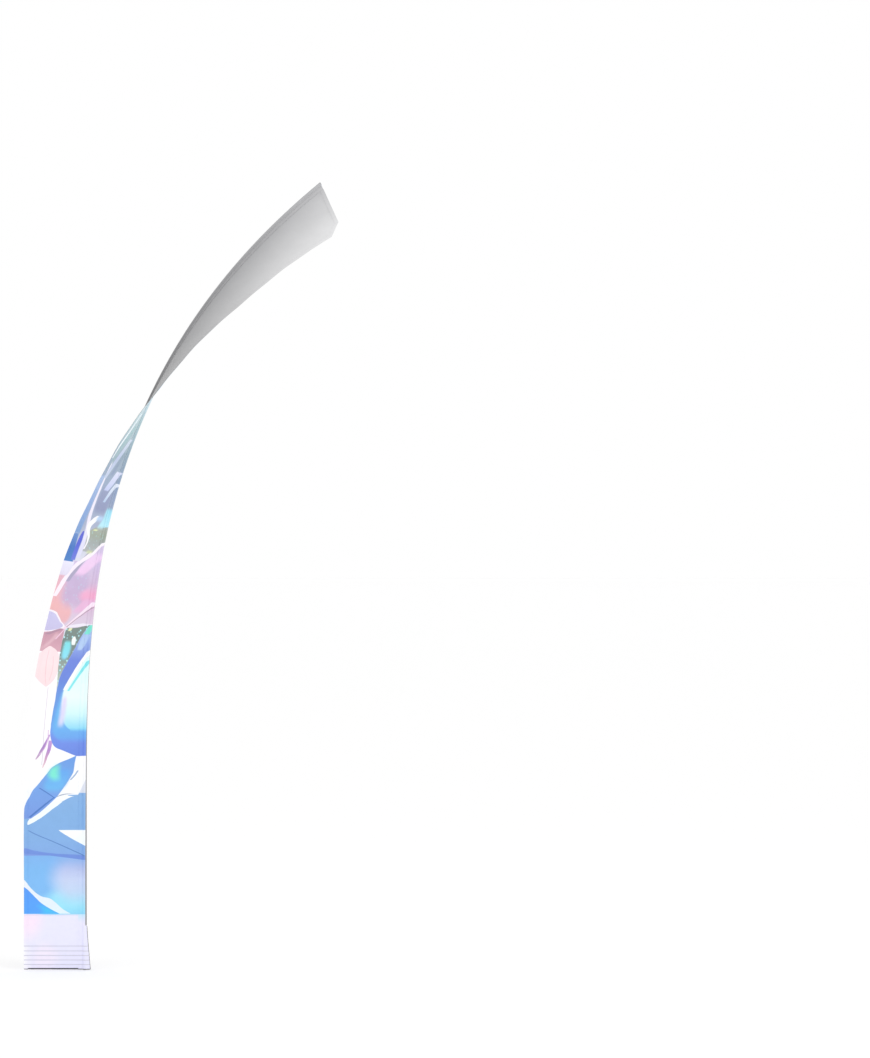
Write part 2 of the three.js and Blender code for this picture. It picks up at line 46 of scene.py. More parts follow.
poleLine = {
    "length": 3675,
    "bendStart": 730,
    "bendSpan": 3956,
    "bendAngle": math.radians(60.3),
    "twistStart": 400,
    "twistEase": 150,
    "twistRate": math.radians(0.0463),  # turn of the cloth for each millimetre of pole
}

clothCut = {
    "width": 260,
    "shoulderWidth": 215,
    "shoulderDrop": 45,
    "chamferDrop": 112,
    "sleeveRadius": 8.2,
    "tailEnd": 27.6,
    "hemWidth": 16,
    "bandHeight": 236,
    "mouthHeight": 190,
    "sleevePeak": 9,  # the sleeve's outer fold runs on past the pole's end to a point
    "foot": 0.6,
}


def leanAt(along):
    share = np.clip((along - poleLine["bendStart"]) / poleLine["bendSpan"], 0, 1)
    return poleLine["bendAngle"] * share * share * (3 - 2 * share)


def twistAt(along):
    past = np.maximum(along - poleLine["twistStart"], 0)
    ease = poleLine["twistEase"]
    eased = poleLine["twistRate"] * past * past / (2 * ease)
    steady = poleLine["twistRate"] * (past - ease / 2)
    return np.where(past < ease, eased, steady)


lineStep = 5
lineAlong = np.arange(0, poleLine["length"] + 1, lineStep)
stepLean = leanAt(lineAlong[:-1] + lineStep / 2)
lineX = np.concatenate([[0], np.cumsum(np.sin(stepLean) * lineStep)])
lineZ = np.concatenate([[0], np.cumsum(np.cos(stepLean) * lineStep)])


# flat layout to place on the pole, in metres
def carry(across, through, along, twisted=True):
    lean = leanAt(along)
    twist = twistAt(along) if twisted else np.zeros_like(along)
    sideX, sideZ = -np.cos(lean), np.sin(lean)
    out = across * np.cos(twist) - through * np.sin(twist)
    front = across * np.sin(twist) + through * np.cos(twist)
    x = np.interp(along, lineAlong, lineX) + out * sideX
    z = np.interp(along, lineAlong, lineZ) + out * sideZ
    past = np.maximum(along - poleLine["length"], 0)
    x = x + past * np.sin(lean)
    z = z + past * np.cos(lean)
    return np.stack([x, -front, z], axis=-1) * mm


# how far the free edge lies from the pole
def edgeAt(along):
    fromTop = poleLine["length"] - along
    return np.interp(fromTop, [0, clothCut["shoulderDrop"], clothCut["chamferDrop"]],
                     [clothCut["tailEnd"], clothCut["shoulderWidth"], clothCut["width"]])


ripple = {
    "sway": 2.2,  # soft waves down the free edge
    "swayLength": 520,
    "flutter": 0.7,
    "flutterLength": 173,
    "pucker": 0.28,  # gathers along the seams
    "puckerLength": 23,
}


# how far the cloth stands out of its flat lay
def rippleAt(across, along):
    share = np.clip((across - clothCut["tailEnd"]) / (clothCut["width"] - clothCut["tailEnd"]), 0, 1)
    rise = np.clip((along - clothCut["bandHeight"]) / 500, 0, 1)
    sway = ripple["sway"] * share ** 1.6 * np.sin(2 * np.pi * along / ripple["swayLength"] + 2.1 * share)
    flutter = ripple["flutter"] * share * np.sin(2 * np.pi * along / ripple["flutterLength"] + 1 - 3 * share)
    nearSeam = np.exp(-np.abs(across - clothCut["tailEnd"]) / 14)
    nearHem = np.exp(-np.abs(across - clothCut["width"] + clothCut["hemWidth"]) / 10)
    gather = np.sin(2 * np.pi * along / ripple["puckerLength"]
                    + 1.7 * np.sin(2 * np.pi * along / 311) + across / 30)
    return (sway + flutter) * rise + ripple["pucker"] * (nearSeam + nearHem) * gather


# small tools


def selectOnly(piece):
    bpy.ops.object.select_all(action="DESELECT")
    piece.select_set(True)
    bpy.context.view_layer.objects.active = piece


def applyModifier(piece, kind, **settings):
    selectOnly(piece)
    modifier = piece.modifiers.new(kind.title(), kind)
    for name, value in settings.items():
        setattr(modifier, name, value)
    bpy.ops.object.modifier_apply(modifier=modifier.name)


def rideFlag(piece, *replaced):
    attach(piece, flagBody)
    if replaced:
        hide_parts(*replaced)


# a sheet laid out as a grid and then carried on to the pole lay(u, v) gives across, through and
# along for shares from 0 to 1.
def sewnSheet(name, columns, rows, lay, thick, materials, rowMarks=None, flat=False, smooth=True):
    bpy.ops.object.select_all(action="DESELECT")
    bpy.ops.mesh.primitive_grid_add(x_subdivisions=columns, y_subdivisions=rows, size=2)
    piece = bpy.context.object
    piece.name = name
    piece.data.name = name
    count = len(piece.data.vertices)
    spots = np.empty(count * 3)
    piece.data.vertices.foreach_get("co", spots)
    spots = spots.reshape(-1, 3)
    u = (spots[:, 0] + 1) / 2
    v = (spots[:, 1] + 1) / 2
    if rowMarks is not None:
        v = np.interp(v, np.linspace(0, 1, len(rowMarks)), rowMarks)
    across, through, along = lay(u, v)
    if flat:
        places = np.stack([across, through, along], axis=-1) * mm
    else:
        places = carry(across, through + rippleAt(across, along), along)
    piece.data.vertices.foreach_set("co", places.ravel())
    layout = piece.data.attributes.new("layout", "FLOAT_VECTOR", "POINT")
    layout.data.foreach_set("vector", np.stack([across, along, through], axis=-1).ravel())
    piece.data.update()
    for material in materials:
        piece.data.materials.append(material)
    if thick:
        applyModifier(piece, "SOLIDIFY", thickness=thick * mm, offset=0, use_even_offset=True,
                      material_offset=len(materials) - 1, material_offset_rim=0)
    if smooth:
        selectOnly(piece)
        bpy.ops.object.shade_smooth_by_angle(angle=math.radians(40))
    return piece


# materials


def linearColor(hexColor):
    parts = [int(hexColor[i:i + 2], 16) / 255 for i in (1, 3, 5)]
    return [c / 12.92 if c <= 0.04045 else ((c + 0.055) / 1.055) ** 2.4 for c in parts] + [1]


def addNode(tree, kind, links=None, values=None, **settings):
    node = tree.nodes.new(kind)
    for name, value in settings.items():
        setattr(node, name, value)
    for key, value in (values or {}).items():
        node.inputs[key].default_value = value
    for key, source in (links or {}).items():
        tree.links.new(source, node.inputs[key])
    return node


def newMaterial(name, roughness, metallic=0.0, sheen=0.0, sheenRoughness=0.5, specular=0.5):
    material = bpy.data.materials.new(name)
    material.use_nodes = True
    tree = material.node_tree
    tree.nodes.clear()
    shader = addNode(tree, "ShaderNodeBsdfPrincipled", values={
        "Roughness": roughness, "Metallic": metallic, "Sheen Weight": sheen,
        "Sheen Roughness": sheenRoughness, "Specular IOR Level": specular,
    })
    addNode(tree, "ShaderNodeOutputMaterial", links={"Surface": shader.outputs["BSDF"]})
    return material, tree, shader


# across and along in millimetres, as painted on the sheet
def layoutOf(tree):
    painted = addNode(tree, "ShaderNodeAttribute", attribute_name="layout")
    parts = addNode(tree, "ShaderNodeSeparateXYZ", links={"Vector": painted.outputs["Vector"]})
    return painted.outputs["Vector"], parts.outputs["X"], parts.outputs["Y"]


# crossed threads as a bump, with threads that swell and thin a little
def addWeave(tree, shader, vector, pitch, depth, strength=0.35):
    spin = addNode(tree, "ShaderNodeMapping", links={"Vector": vector}, values={
        "Scale": (1 / pitch, 1 / pitch, 1)})
    warp = addNode(tree, "ShaderNodeTexWave", links={"Vector": spin.outputs["Vector"]},
                   values={"Scale": 1.0, "Distortion": 0.4, "Detail": 1.0}, bands_direction="X")
    weft = addNode(tree, "ShaderNodeTexWave", links={"Vector": spin.outputs["Vector"]},
                   values={"Scale": 1.0, "Distortion": 0.4, "Detail": 1.0}, bands_direction="Y")
    cross = addNode(tree, "ShaderNodeMath", links={0: warp.outputs["Fac"], 1: weft.outputs["Fac"]},
                    operation="MAXIMUM")
    bump = addNode(tree, "ShaderNodeBump", links={"Height": cross.outputs["Value"]},
                   values={"Strength": strength, "Distance": depth * mm})
    tree.links.new(bump.outputs["Normal"], shader.inputs["Normal"])
    return cross.outputs["Value"]


# low and high are hex colours or sockets
def mixColor(tree, share, low, high, blend="MIX"):
    node = addNode(tree, "ShaderNodeMix", data_type="RGBA", blend_type=blend)
    factor, first, second = node.inputs[0], node.inputs[6], node.inputs[7]
    for socket, source in ((factor, share), (first, low), (second, high)):
        if isinstance(source, str):
            socket.default_value = linearColor(source)
        elif isinstance(source, (int, float)):
            socket.default_value = source
        else:
            tree.links.new(source, socket)
    return node.outputs[2]


# an even run of hex colours
def rampOf(tree, share, colors):
    ramp = addNode(tree, "ShaderNodeValToRGB", links={"Fac": share})
    stops = ramp.color_ramp.elements
    while len(stops) < len(colors):
        stops.new(0.5)
    for index, color in enumerate(colors):
        stops[index].position = index / max(1, len(colors) - 1)
        stops[index].color = linearColor(color)
    return ramp.outputs["Color"]


# Each printed shape is a run of stations up the flag: how far up, then where its left and
# right edges are, all in millimetres from the pole's middle. Colours run from foot to top.
footShapes = [
    {"edges": [(-5, 300, -40), (238, 300, -40)], "blur": 2, "colors": ["#e9e8fd", "#ecebff"]},
    {"edges": [(-5, 300, 236), (60, 300, 238), (110, 300, 248)], "blur": 26, "colors": ["#f8f6ff"]},
    {"edges": [(130, 300, 214), (185, 300, 196), (237, 300, 186)], "blur": 44, "colors": ["#f6ecfd",
     "#ffe7f9"]},
    {"edges": [(8, 208, 140), (50, 222, 120), (110, 196, 150)], "blur": 40, "colors": ["#f4ecfd"]},
]
# the band's sewn rows: real stitches at these heights, each with a grey strip of painted groove shade
stitchRows = {"heights": (21.5, 41, 60.5, 80, 101), "grooveShadeWidth": 3.6, "color": "#cfcedd"}
for rowHeight in stitchRows["heights"]:
    footShapes.append({"edges": [(rowHeight - stitchRows["grooveShadeWidth"] / 2, 300, -40),
                                 (rowHeight + stitchRows["grooveShadeWidth"] / 2, 300, -40)],
                       "blur": 2, "colors": [stitchRows["color"]]})

footShapes.append({"edges": [(-5, 300, -40), (3.4, 300, -40)], "blur": 2, "ends": 1, "colors": ["#302f37"]})

printedShapes = footShapes + [
    # sky field, deep blue corner and pale ribbon
    {"edges": [(238, 300, -40), (520, 300, -40)], "blur": 2, "colors": ["#8ecbf6", "#82bdf4", "#80bcf3",
     "#84b4ee"]},
    {"edges": [(238, 150, -40), (300, 160, -40), (352, 120, -40)], "blur": 50, "ends": 46,
     "colors": ["#98e6fa", "#a2e2fa"]},
    {"edges": [(300, 90, -40), (390, 132, -40), (468, 110, -40)], "blur": 60, "ends": 50,
     "colors": ["#c2dcf6", "#c9d6f5", "#adb9e8"]},
    {"edges": [(240, 300, 108), (262, 300, 150), (298, 300, 200), (347, 300, 250), (358, 300, 262)],
     "blur": 2,
     "colors": ["#58a6fb", "#5c9ff8"]},
    {"edges": [(240, 190, 106), (252, 180, 130), (272, 200, 162)], "blur": 24, "ends": 8,
     "colors": ["#4fc6f8"]},
    {"edges": [(240, 108, 60), (262, 150, 97), (290, 192, 128), (306, 208, 152), (313, 216, 182),
     (322, 224, 200),
               (350, 254, 231), (376, 300, 252), (392, 300, 266)], "blur": 2.5, "colors": ["#e3f4fd",
                "#eaf2fd", "#eef4fd"]},
    # blue bands, a fine line and a white notch
    {"edges": [(490, 300, 0), (494, 300, 100), (499, 300, 150), (508, 300, 200), (524, 300, 254)],
     "blur": 3, "ends": 0.5,
     "colors": ["#7f9ce2"]},
    {"edges": [(472, 0, -40), (490, 150, -40), (497, 215, -40), (500, 300, -40), (760, 300, -40)],
     "blur": 3,
     "colors": ["#84abe6", "#86b2e6", "#85b2e4", "#8ab5e6"]},
    {"edges": [(472, 10, -40), (482, 86, -30), (491, 160, 0), (499, 262, 128), (508, 300, 196),
     (522, 300, 252)],
     "blur": 4, "ends": 3, "colors": ["#7191dd", "#7595df"]},
    {"edges": [(488, 3, -6), (535, 106, 96), (557, 156, 146), (578, 206, 196), (599, 246, 238)],
     "blur": 1.6,
     "colors": ["#5c86c4", "#6790cc"]},
    {"edges": [(533, 0, -40), (560, 50, -40), (595, 106, -40), (600, 112, -40)], "blur": 2,
     "colors": ["#f4fbff", "#fbfeff"]},
    # white ground above the bands
    {"edges": [(648, 222, 216), (690, 300, 150), (722, 300, 100), (745, 300, 52), (750, 300, 30),
     (1392, 300, -40)],
     "blur": 2.5, "colors": ["#f6fbff", "#fdfcff", "#fffbfe", "#fffafe"]},
    {"edges": [(744, 30, -40), (751, 74, -40), (752, 66, -40)], "blur": 2, "colors": ["#8ab5e4"]},
    {"edges": [(624, 246, 240), (648, 238, 196), (690, 178, 140), (722, 132, 96)], "blur": 2.5,
     "colors": ["#f4fcff"]},
    {"edges": [(726, 152, 146), (746, 120, 110), (756, 92, 60), (757.5, 80, 40)], "blur": 1.6,
     "colors": ["#b4bccb"]},
    # long leaf with an aqua glow
    {"edges": [(650, 262, 232), (672, 262, 200), (715, 256, 150), (745, 240, 120), (772, 226, 100),
     (800, 202, 80),
               (828, 180, 62), (850, 162, 50), (868, 148, 47), (886, 120, 45), (896, 98, 43),
                (908, 66, 41), (919, 42, 38)],
     "blur": 2, "colors": ["#7a9ce4", "#7aa2e6", "#79a6e8", "#76a6e8", "#6f9fe6"]},
    {"edges": [(770, 170, 108), (812, 172, 76), (862, 118, 66)], "blur": 20, "ends": 20,
     "colors": ["#72bcf2", "#6aaaf0"]},
    {"edges": [(818, 148, 112), (850, 158, 116), (880, 132, 112)], "blur": 22, "ends": 16,
     "colors": ["#82eedb", "#7fe8d2"]},
    {"edges": [(655, 244, 232), (700, 190, 178), (742, 136, 128)], "blur": 1.6, "colors": ["#5580c8"]},
    {"edges": [(738, 134, 128), (760, 166, 158), (783, 202, 194)], "blur": 1.6, "colors": ["#5580c8"]},
    {"edges": [(816, 66, 58), (836, 48, 40), (856, 34, 28)], "blur": 2, "colors": ["#a3b9d8"]},
    # violet wisps
    {"edges": [(880, 192, 189), (1210, 191, 188)], "blur": 1.6, "colors": ["#ddd7e2", "#d9d5de"]},
    {"edges": [(905, 222, 216), (940, 204, 190), (966, 190, 176), (1010, 166, 160)], "blur": 2.5,
     "colors": ["#c9aac6", "#a883c4", "#c39ad8"]},
    {"edges": [(868, 188, 184), (905, 180, 170), (950, 170, 154), (985, 166, 148)], "blur": 2.5,
     "colors": ["#eccfd2", "#cfa3c4", "#b68bcf", "#c9a4de"]},
    {"edges": [(925, 208, 204), (950, 186, 182), (1030, 172, 168)], "blur": 2, "colors": ["#dcbfe2"]},
    # big glossy petal: blue rim, clear middle, violet base
    {"edges": [(918, 38, 22), (926, 60, -40), (936, 84, -40), (946, 110, -40), (954, 130, -40),
     (966, 144, -40),
               (986, 154, -40), (1010, 160, -40), (1050, 160, -40), (1100, 157, -40), (1150, 151, -40),
               (1200, 146, -40), (1250, 138, -40), (1280, 128, -40), (1310, 112, -40), (1360, 85, -40),
               (1425, 50, -40), (1480, 10, -40), (1492, 0, -40)], "blur": 2,
     "colors": ["#6d8be2", "#7794ea", "#6aa3ea", "#6c9be2", "#6f8ade", "#7389de", "#9bb4ea", "#a9c3ee"]},
    {"edges": [(985, 116, -40), (1010, 146, -40), (1100, 141, -40), (1150, 128, -40), (1200, 112, -40)],
     "blur": 16, "ends": 20, "colors": ["#6fa6ee", "#70b8f2", "#74bcf2", "#86ccf6"]},
    {"edges": [(1030, 70, -40), (1060, 100, -40), (1110, 112, -40), (1160, 116, -40), (1204, 110, -40),
               (1260, 76, -40), (1300, 53, -40), (1345, 20, -40), (1376, 0, -40)], "blur": 10, "ends": 22,
     "colors": ["#8edcf8", "#d4f8fe", "#ecffff", "#e6fffd", "#e4fffd", "#ecffff"]},
    {"edges": [(1048, 128, 104), (1096, 122, 96), (1172, 112, 92)], "blur": 14, "ends": 20,
     "colors": ["#d6dcfa", "#e8dcfb"]},
    {"edges": [(1200, 116, 100), (1226, 102, 82), (1296, 60, 42), (1372, 4, -16)], "blur": 3,
     "colors": ["#ffffff"]},
    {"edges": [(1196, 95, 84), (1250, 60, 46), (1330, 4, -14)], "blur": 5, "colors": ["#8aebf1",
     "#86e6ef"]},
    {"edges": [(1440, 34, 8), (1470, 16, -4), (1490, 0, -10)], "blur": 8, "colors": ["#82e8d6"]},
    {"edges": [(1372, 62, 40), (1400, 54, 20), (1440, 34, 2)], "blur": 10, "ends": 10,
     "colors": ["#b3cdf2"]},
    # rose petals on the left
    {"edges": [(1360, 300, 150), (1400, 300, 150), (1452, 300, 148), (1464, 300, 146)], "blur": 3,
     "colors": ["#d9aab8", "#cf9fb0", "#c797aa"]},
    {"edges": [(1212, 204, 200), (1230, 232, 176), (1256, 262, 158), (1300, 282, 150), (1336, 276, 152),
               (1362, 246, 168), (1382, 216, 206)], "blur": 3, "colors": ["#fde0e4", "#fde4e7", "#fbe3e8"]},
    {"edges": [(1222, 204, 202), (1290, 216, 213), (1368, 213, 211)], "blur": 2, "colors": ["#f3cbd2"]},
    {"edges": [(1238, 190, 186), (1290, 182, 178), (1340, 186, 183)], "blur": 2, "colors": ["#f7d5da"]},
    {"edges": [(1372, 262, 240), (1400, 226, 204), (1436, 196, 160)], "blur": 12, "ends": 10,
     "colors": ["#dfb6c2"]},
    # sparkling green-grey patch
    {"edges": [(1200, 148, 146), (1250, 149, 138), (1280, 151, 128), (1310, 151, 112), (1360, 151, 85),
               (1425, 146, 50), (1468, 128, 20), (1476, 80, 12), (1488, 6, 0)], "blur": 2.5,
     "colors": ["#cdd8c8", "#a9b8ae", "#81918e", "#7b8b88", "#808f88"], "sparkle": 1},
    {"edges": [(1330, 138, 118), (1366, 140, 100), (1406, 132, 104)], "blur": 12, "ends": 8,
     "colors": ["#8fe0f6", "#86e4ea"]},
    {"edges": [(1392, 94, 80), (1412, 98, 76), (1428, 90, 82)], "blur": 6, "ends": 5,
     "colors": ["#f4fbf8"]},
    {"edges": [(1450, 128, 112), (1462, 122, 104), (1470, 116, 108)], "blur": 6, "ends": 4,
     "colors": ["#e4e8b6"]},
    # violet and salmon crystal field
    {"edges": [(1462, 150, 128), (1470, 300, 60), (1480, 300, 30), (1490, 300, -40), (1850, 300, -40)],
     "blur": 3,
     "colors": ["#dccfe2", "#dcc4dc", "#d6bfdc", "#d2c3e4", "#dccfea"]},
    {"edges": [(1480, 300, 150), (1530, 300, 128), (1580, 300, 160), (1650, 300, 196),
     (1690, 300, 226)], "blur": 16,
     "colors": ["#eab6be", "#f0b9bb", "#ecb8c4", "#e5b9ca"]},
    {"edges": [(1440, 300, 258), (1462, 300, 154), (1490, 300, 178), (1512, 300, 200), (1527, 300, 222),
     (1534, 300, 262)],
     "blur": 2.5, "ends": 1, "colors": ["#f8f2fb"]},
    {"edges": [(1446, 300, 242), (1466, 300, 164), (1488, 300, 187), (1506, 300, 206), (1520, 300, 228),
     (1527, 300, 264)],
     "blur": 2.5, "ends": 1, "colors": ["#cbc5e8", "#cdcaee"]},
    {"edges": [(1430, 262, 226), (1444, 222, 190), (1458, 176, 142)], "blur": 2.5, "colors": ["#b690a4"]},
    {"edges": [(1556, 190, 40), (1600, 210, 20), (1680, 190, 60), (1716, 150, 90)], "blur": 40, "ends": 30,
     "colors": ["#ccb2d4", "#c8b6da"], "sparkle": 0.3},
    {"edges": [(1570, 60, -40), (1604, 92, -40), (1640, 50, -40)], "blur": 34, "ends": 24,
     "colors": ["#f2aacd", "#efb4d4"]},
    {"edges": [(1530, 120, 40), (1560, 90, 0), (1590, 60, -40)], "blur": 16, "ends": 12,
     "colors": ["#e9b9dc"]},
    {"edges": [(1456, 162, 142), (1495, 116, 92), (1535, 66, 38), (1580, 10, -16)], "blur": 4,
     "colors": ["#f4dcec", "#f9e9f8"]},
    {"edges": [(1466, 142, 136), (1500, 96, 88), (1560, 4, -4)], "blur": 2.5, "colors": ["#b39aae"]},
    {"edges": [(1465, 134, 110), (1474, 118, 44), (1486, 50, -10)], "blur": 2, "colors": ["#efe9f6"]},
    {"edges": [(1412, 192, 186), (1436, 170, 164), (1458, 150, 146)], "blur": 3, "colors": ["#f2cbe2"]},
    {"edges": [(1690, 160, 96), (1730, 126, 40), (1790, 60, -30)], "blur": 18, "ends": 16,
     "colors": ["#f3cdf1", "#efd4f4"]},
    {"edges": [(1656, 212, 186), (1700, 182, 152), (1748, 150, 112), (1790, 104, 62)], "blur": 8,
     "colors": ["#b0a8c6", "#a9a6be"]},
    {"edges": [(1590, 262, 240), (1640, 246, 216), (1690, 214, 186), (1740, 168, 130), (1768, 120, 78),
     (1812, 58, 20),
               (1866, 14, -30)], "blur": 5, "colors": ["#fdf2fc", "#f7eefb", "#fffaff"]},
    {"edges": [(1680, 300, 214), (1716, 300, 190), (1742, 300, 186)], "blur": 10, "ends": 8,
     "colors": ["#e2dcf0", "#eceafc"]},
    # deep blue slivers and silver-green facets
    {"edges": [(1746, 300, 150), (1790, 300, 100), (1850, 300, 40), (1880, 300, -40), (2700, 300, -40)],
     "blur": 6,
     "colors": ["#dfe0ee", "#a9b3cc", "#98a9c6", "#9cb0bf", "#b4ccd2", "#d9e9f4", "#dde2ee"]},
    {"edges": [(1790, 150, 70), (1830, 150, 20), (1870, 152, -40), (1908, 60, -40)], "blur": 4,
     "colors": ["#b3b7ba", "#a6aeae", "#a3ac9e", "#aeb4ae"], "sparkle": 0.35},
    {"edges": [(1786, 120, 76), (1794, 112, 70)], "blur": 12, "ends": 6, "colors": ["#dbe8a4"]},
    {"edges": [(1884, 114, 84), (1890, 100, 66)], "blur": 10, "ends": 5, "colors": ["#e6f0b4"]},
    {"edges": [(1740, 300, 196), (1770, 300, 204), (1800, 300, 212), (1860, 300, 222)], "blur": 8,
     "colors": ["#4c84c8", "#4477c4", "#6a90cc"]},
    {"edges": [(1748, 214, 186), (1800, 214, 182), (1850, 206, 178), (1874, 194, 184)], "blur": 6,
     "colors": ["#6f7fe0", "#5766d8", "#5a60d4"]},
    {"edges": [(1860, 300, 216), (1950, 300, 214), (2120, 300, 214)], "blur": 8, "ends": 14,
     "colors": ["#7ea2d4", "#8eacdc", "#a9c0e4"]},
    {"edges": [(1760, 184, 158), (1860, 176, 146), (1960, 206, 176), (2080, 212, 190),
     (2200, 220, 204)], "blur": 8,
     "colors": ["#dcdcf6", "#efeafb", "#f4effd", "#e6e8f8"]},
    {"edges": [(1800, 150, 138), (1850, 140, 124), (1896, 176, 140), (1930, 150, 104), (1948, 116, 96)],
     "blur": 5,
     "colors": ["#f6f2fb", "#ffffff", "#f9f8fd"]},
    {"edges": [(1900, 84, 30), (1930, 60, -40), (1986, 40, -40)], "blur": 14, "ends": 12,
     "colors": ["#bfeefa", "#a4e2f6"]},
    {"edges": [(1928, 116, 60), (1948, 104, 50)], "blur": 14, "ends": 8, "colors": ["#b9d6f8"]},
    {"edges": [(1962, 170, 60), (2010, 172, 40), (2070, 170, 40)], "blur": 20, "ends": 14,
     "colors": ["#9098bc", "#949ec0"]},
    {"edges": [(2060, 150, 96), (2100, 120, 50), (2150, 70, 0)], "blur": 9, "ends": 8,
     "colors": ["#c4cdf2", "#e2e6fb"]},
    {"edges": [(2010, 110, 84), (2040, 90, 60), (2076, 60, 20), (2100, 24, -20)], "blur": 6,
     "colors": ["#b6ccea", "#e9effb"]},
    {"edges": [(2110, 220, 190), (2180, 190, 140), (2250, 130, 70), (2300, 70, 10)], "blur": 10,
     "colors": ["#c9d4ec", "#b9c6e4", "#d4e0f0"]},
    {"edges": [(2130, 150, 110), (2190, 120, 70), (2240, 80, 20)], "blur": 12, "colors": ["#8c9cbc",
     "#8ea6b6"]},
    {"edges": [(2180, 230, 200), (2280, 200, 130), (2360, 120, 50)], "blur": 12, "colors": ["#9cb4c0",
     "#9fc4c8"]},
    {"edges": [(2200, 250, 234), (2320, 214, 180), (2420, 150, 90)], "blur": 8, "colors": ["#f4fbff",
     "#e4f4fa"]},
    # paler field above the turn of the cloth, with three long petals
    {"edges": [(2540, 262, 250), (2620, 250, 200), (2760, 190, 110), (2880, 110, 60), (2930, 70, 50)],
     "blur": 3,
     "colors": ["#9cc8f0", "#8fb6ec", "#a3b6ec"]},
    {"edges": [(2640, 236, 214), (2780, 166, 130), (2880, 100, 76)], "blur": 12, "colors": ["#d6f2fb",
     "#c9e4fb"]},
    {"edges": [(2860, 60, 30), (2960, 150, 20), (3080, 190, 60), (3200, 196, 120), (3260, 190, 176)],
     "blur": 3,
     "colors": ["#e9c3dc", "#dcbfe2", "#c9bfe8", "#c3ccf0"]},
    {"edges": [(2930, 80, 48), (3060, 140, 84), (3180, 166, 136)], "blur": 14, "colors": ["#f8e4f2",
     "#ece6fb"]},
    {"edges": [(3200, 300, 250), (3290, 300, 190), (3390, 240, 120), (3480, 160, 60), (3560, 90, 20)],
     "blur": 3,
     "colors": ["#8fd2f4", "#86b6ec", "#8ea6e8"]},
    {"edges": [(3300, 260, 214), (3400, 200, 150), (3500, 120, 80)], "blur": 12, "colors": ["#d4f6fb",
     "#cfe2fb"]},
]

acrossRange = (-60, 320)


# an edge's distance from the pole, drawn through its stations
def edgeCurve(tree, climb, stations, foot, top):
    node = addNode(tree, "ShaderNodeFloatCurve", links={"Value": climb})
    low, high = acrossRange
    curve = node.mapping.curves[0]
    while len(curve.points) < len(stations):
        curve.points.new(0.5, 0.5)
    for point, (along, across) in zip(curve.points, stations):
        point.location = ((along - foot) / (top - foot), (across - low) / (high - low))
        point.handle_type = "AUTO" if len(stations) > 2 else "VECTOR"
    node.mapping.update()
    return addNode(tree, "ShaderNodeMath", links={0: node.outputs["Value"]},
                   values={1: float(high - low), 2: float(low)}, operation="MULTIPLY_ADD").outputs["Value"]


# 1 where first is well over second, fading over the blur
def softStep(tree, first, second, blur):
    gap = addNode(tree, "ShaderNodeMath", operation="SUBTRACT")
    for index, source in enumerate((first, second)):
        if isinstance(source, (int, float)):
            gap.inputs[index].default_value = source
        else:
            tree.links.new(source, gap.inputs[index])
    return addNode(tree, "ShaderNodeMapRange", links={"Value": gap.outputs["Value"]},
                   values={1: -blur / 2.0, 2: blur / 2.0}, interpolation_type="SMOOTHSTEP").outputs["Result"]


# lays one printed shape over the colours below it
def printShape(tree, across, along, base, shape, sparkleMask):
    stations = shape["edges"]
    foot, top = stations[0][0], stations[-1][0]
    climb = addNode(tree, "ShaderNodeMapRange", links={"Value": along},
                    values={1: float(foot), 2: float(top)}).outputs["Result"]
    left = edgeCurve(tree, climb, [(s, l) for s, l, r in stations], foot, top)
    right = edgeCurve(tree, climb, [(s, r) for s, l, r in stations], foot, top)
    blur, ends = shape["blur"], shape.get("ends", 2)
    if blur > 11:  # a glow has no edge at all
        blur, ends = blur * 1.7, max(ends, blur) * 1.7
    mask = softStep(tree, left, across, blur)
    for part in (softStep(tree, across, right, blur), softStep(tree, along, foot, ends),
                 softStep(tree, float(top), along, ends)):
        mask = addNode(tree, "ShaderNodeMath", links={0: mask, 1: part}, operation="MULTIPLY").outputs["Value"]
    color = shape["colors"][0] if len(shape["colors"]) == 1 else rampOf(tree, climb, shape["colors"])
    if shape.get("sparkle"):
        glint = addNode(tree, "ShaderNodeMath", links={0: sparkleMask}, values={1: float(shape["sparkle"])},
                        operation="MULTIPLY")
        color = mixColor(tree, glint.outputs["Value"], color, "#b8f4fa")
    return mixColor(tree, mask, base, color)


def paintShapes(tree, vector, across, along, base, shapes):
    specks = addNode(tree, "ShaderNodeTexVoronoi", links={"Vector": vector},
                     values={"Scale": 0.06, "Randomness": 1.0}, feature="F1")
    sparkle = addNode(tree, "ShaderNodeMapRange", links={"Value": specks.outputs["Distance"]},
                      values={1: 0.12, 2: 0.34, 3: 1.0, 4: 0.0})
    wobble = addNode(tree, "ShaderNodeTexNoise", links={"Vector": vector},
                     values={"Scale": 0.03, "Detail": 2.0, "Roughness": 0.5})
    shift = addNode(tree, "ShaderNodeMapRange", links={"Value": wobble.outputs["Fac"]},
                    values={1: 0.25, 2: 0.75, 3: -1.2, 4: 1.2})
    acrossMoved = addNode(tree, "ShaderNodeMath", links={0: across, 1: shift.outputs["Result"]},
                          operation="ADD").outputs["Value"]
    color = base
    for shape in shapes:
        color = printShape(tree, acrossMoved, along, color, shape, sparkle.outputs["Result"])
    return color


# dye taken up a little unevenly
def cloudOver(tree, vector, color, scale, low, high):
    cloud = addNode(tree, "ShaderNodeTexNoise", links={"Vector": vector},
                    values={"Scale": scale, "Detail": 4.0, "Roughness": 0.6})
    tint = addNode(tree, "ShaderNodeMapRange", links={"Value": cloud.outputs["Fac"]},
                   values={1: 0.3, 2: 0.7, 3: low, 4: high})
    return addNode(tree, "ShaderNodeVectorMath", links={0: color, 1: tint.outputs["Result"]},
                   operation="MULTIPLY").outputs["Vector"]


# heights at which one part of the print meets the next
printZones = [230, 620, 1000, 1215, 1380, 1560, 1800, 2100, 2700]


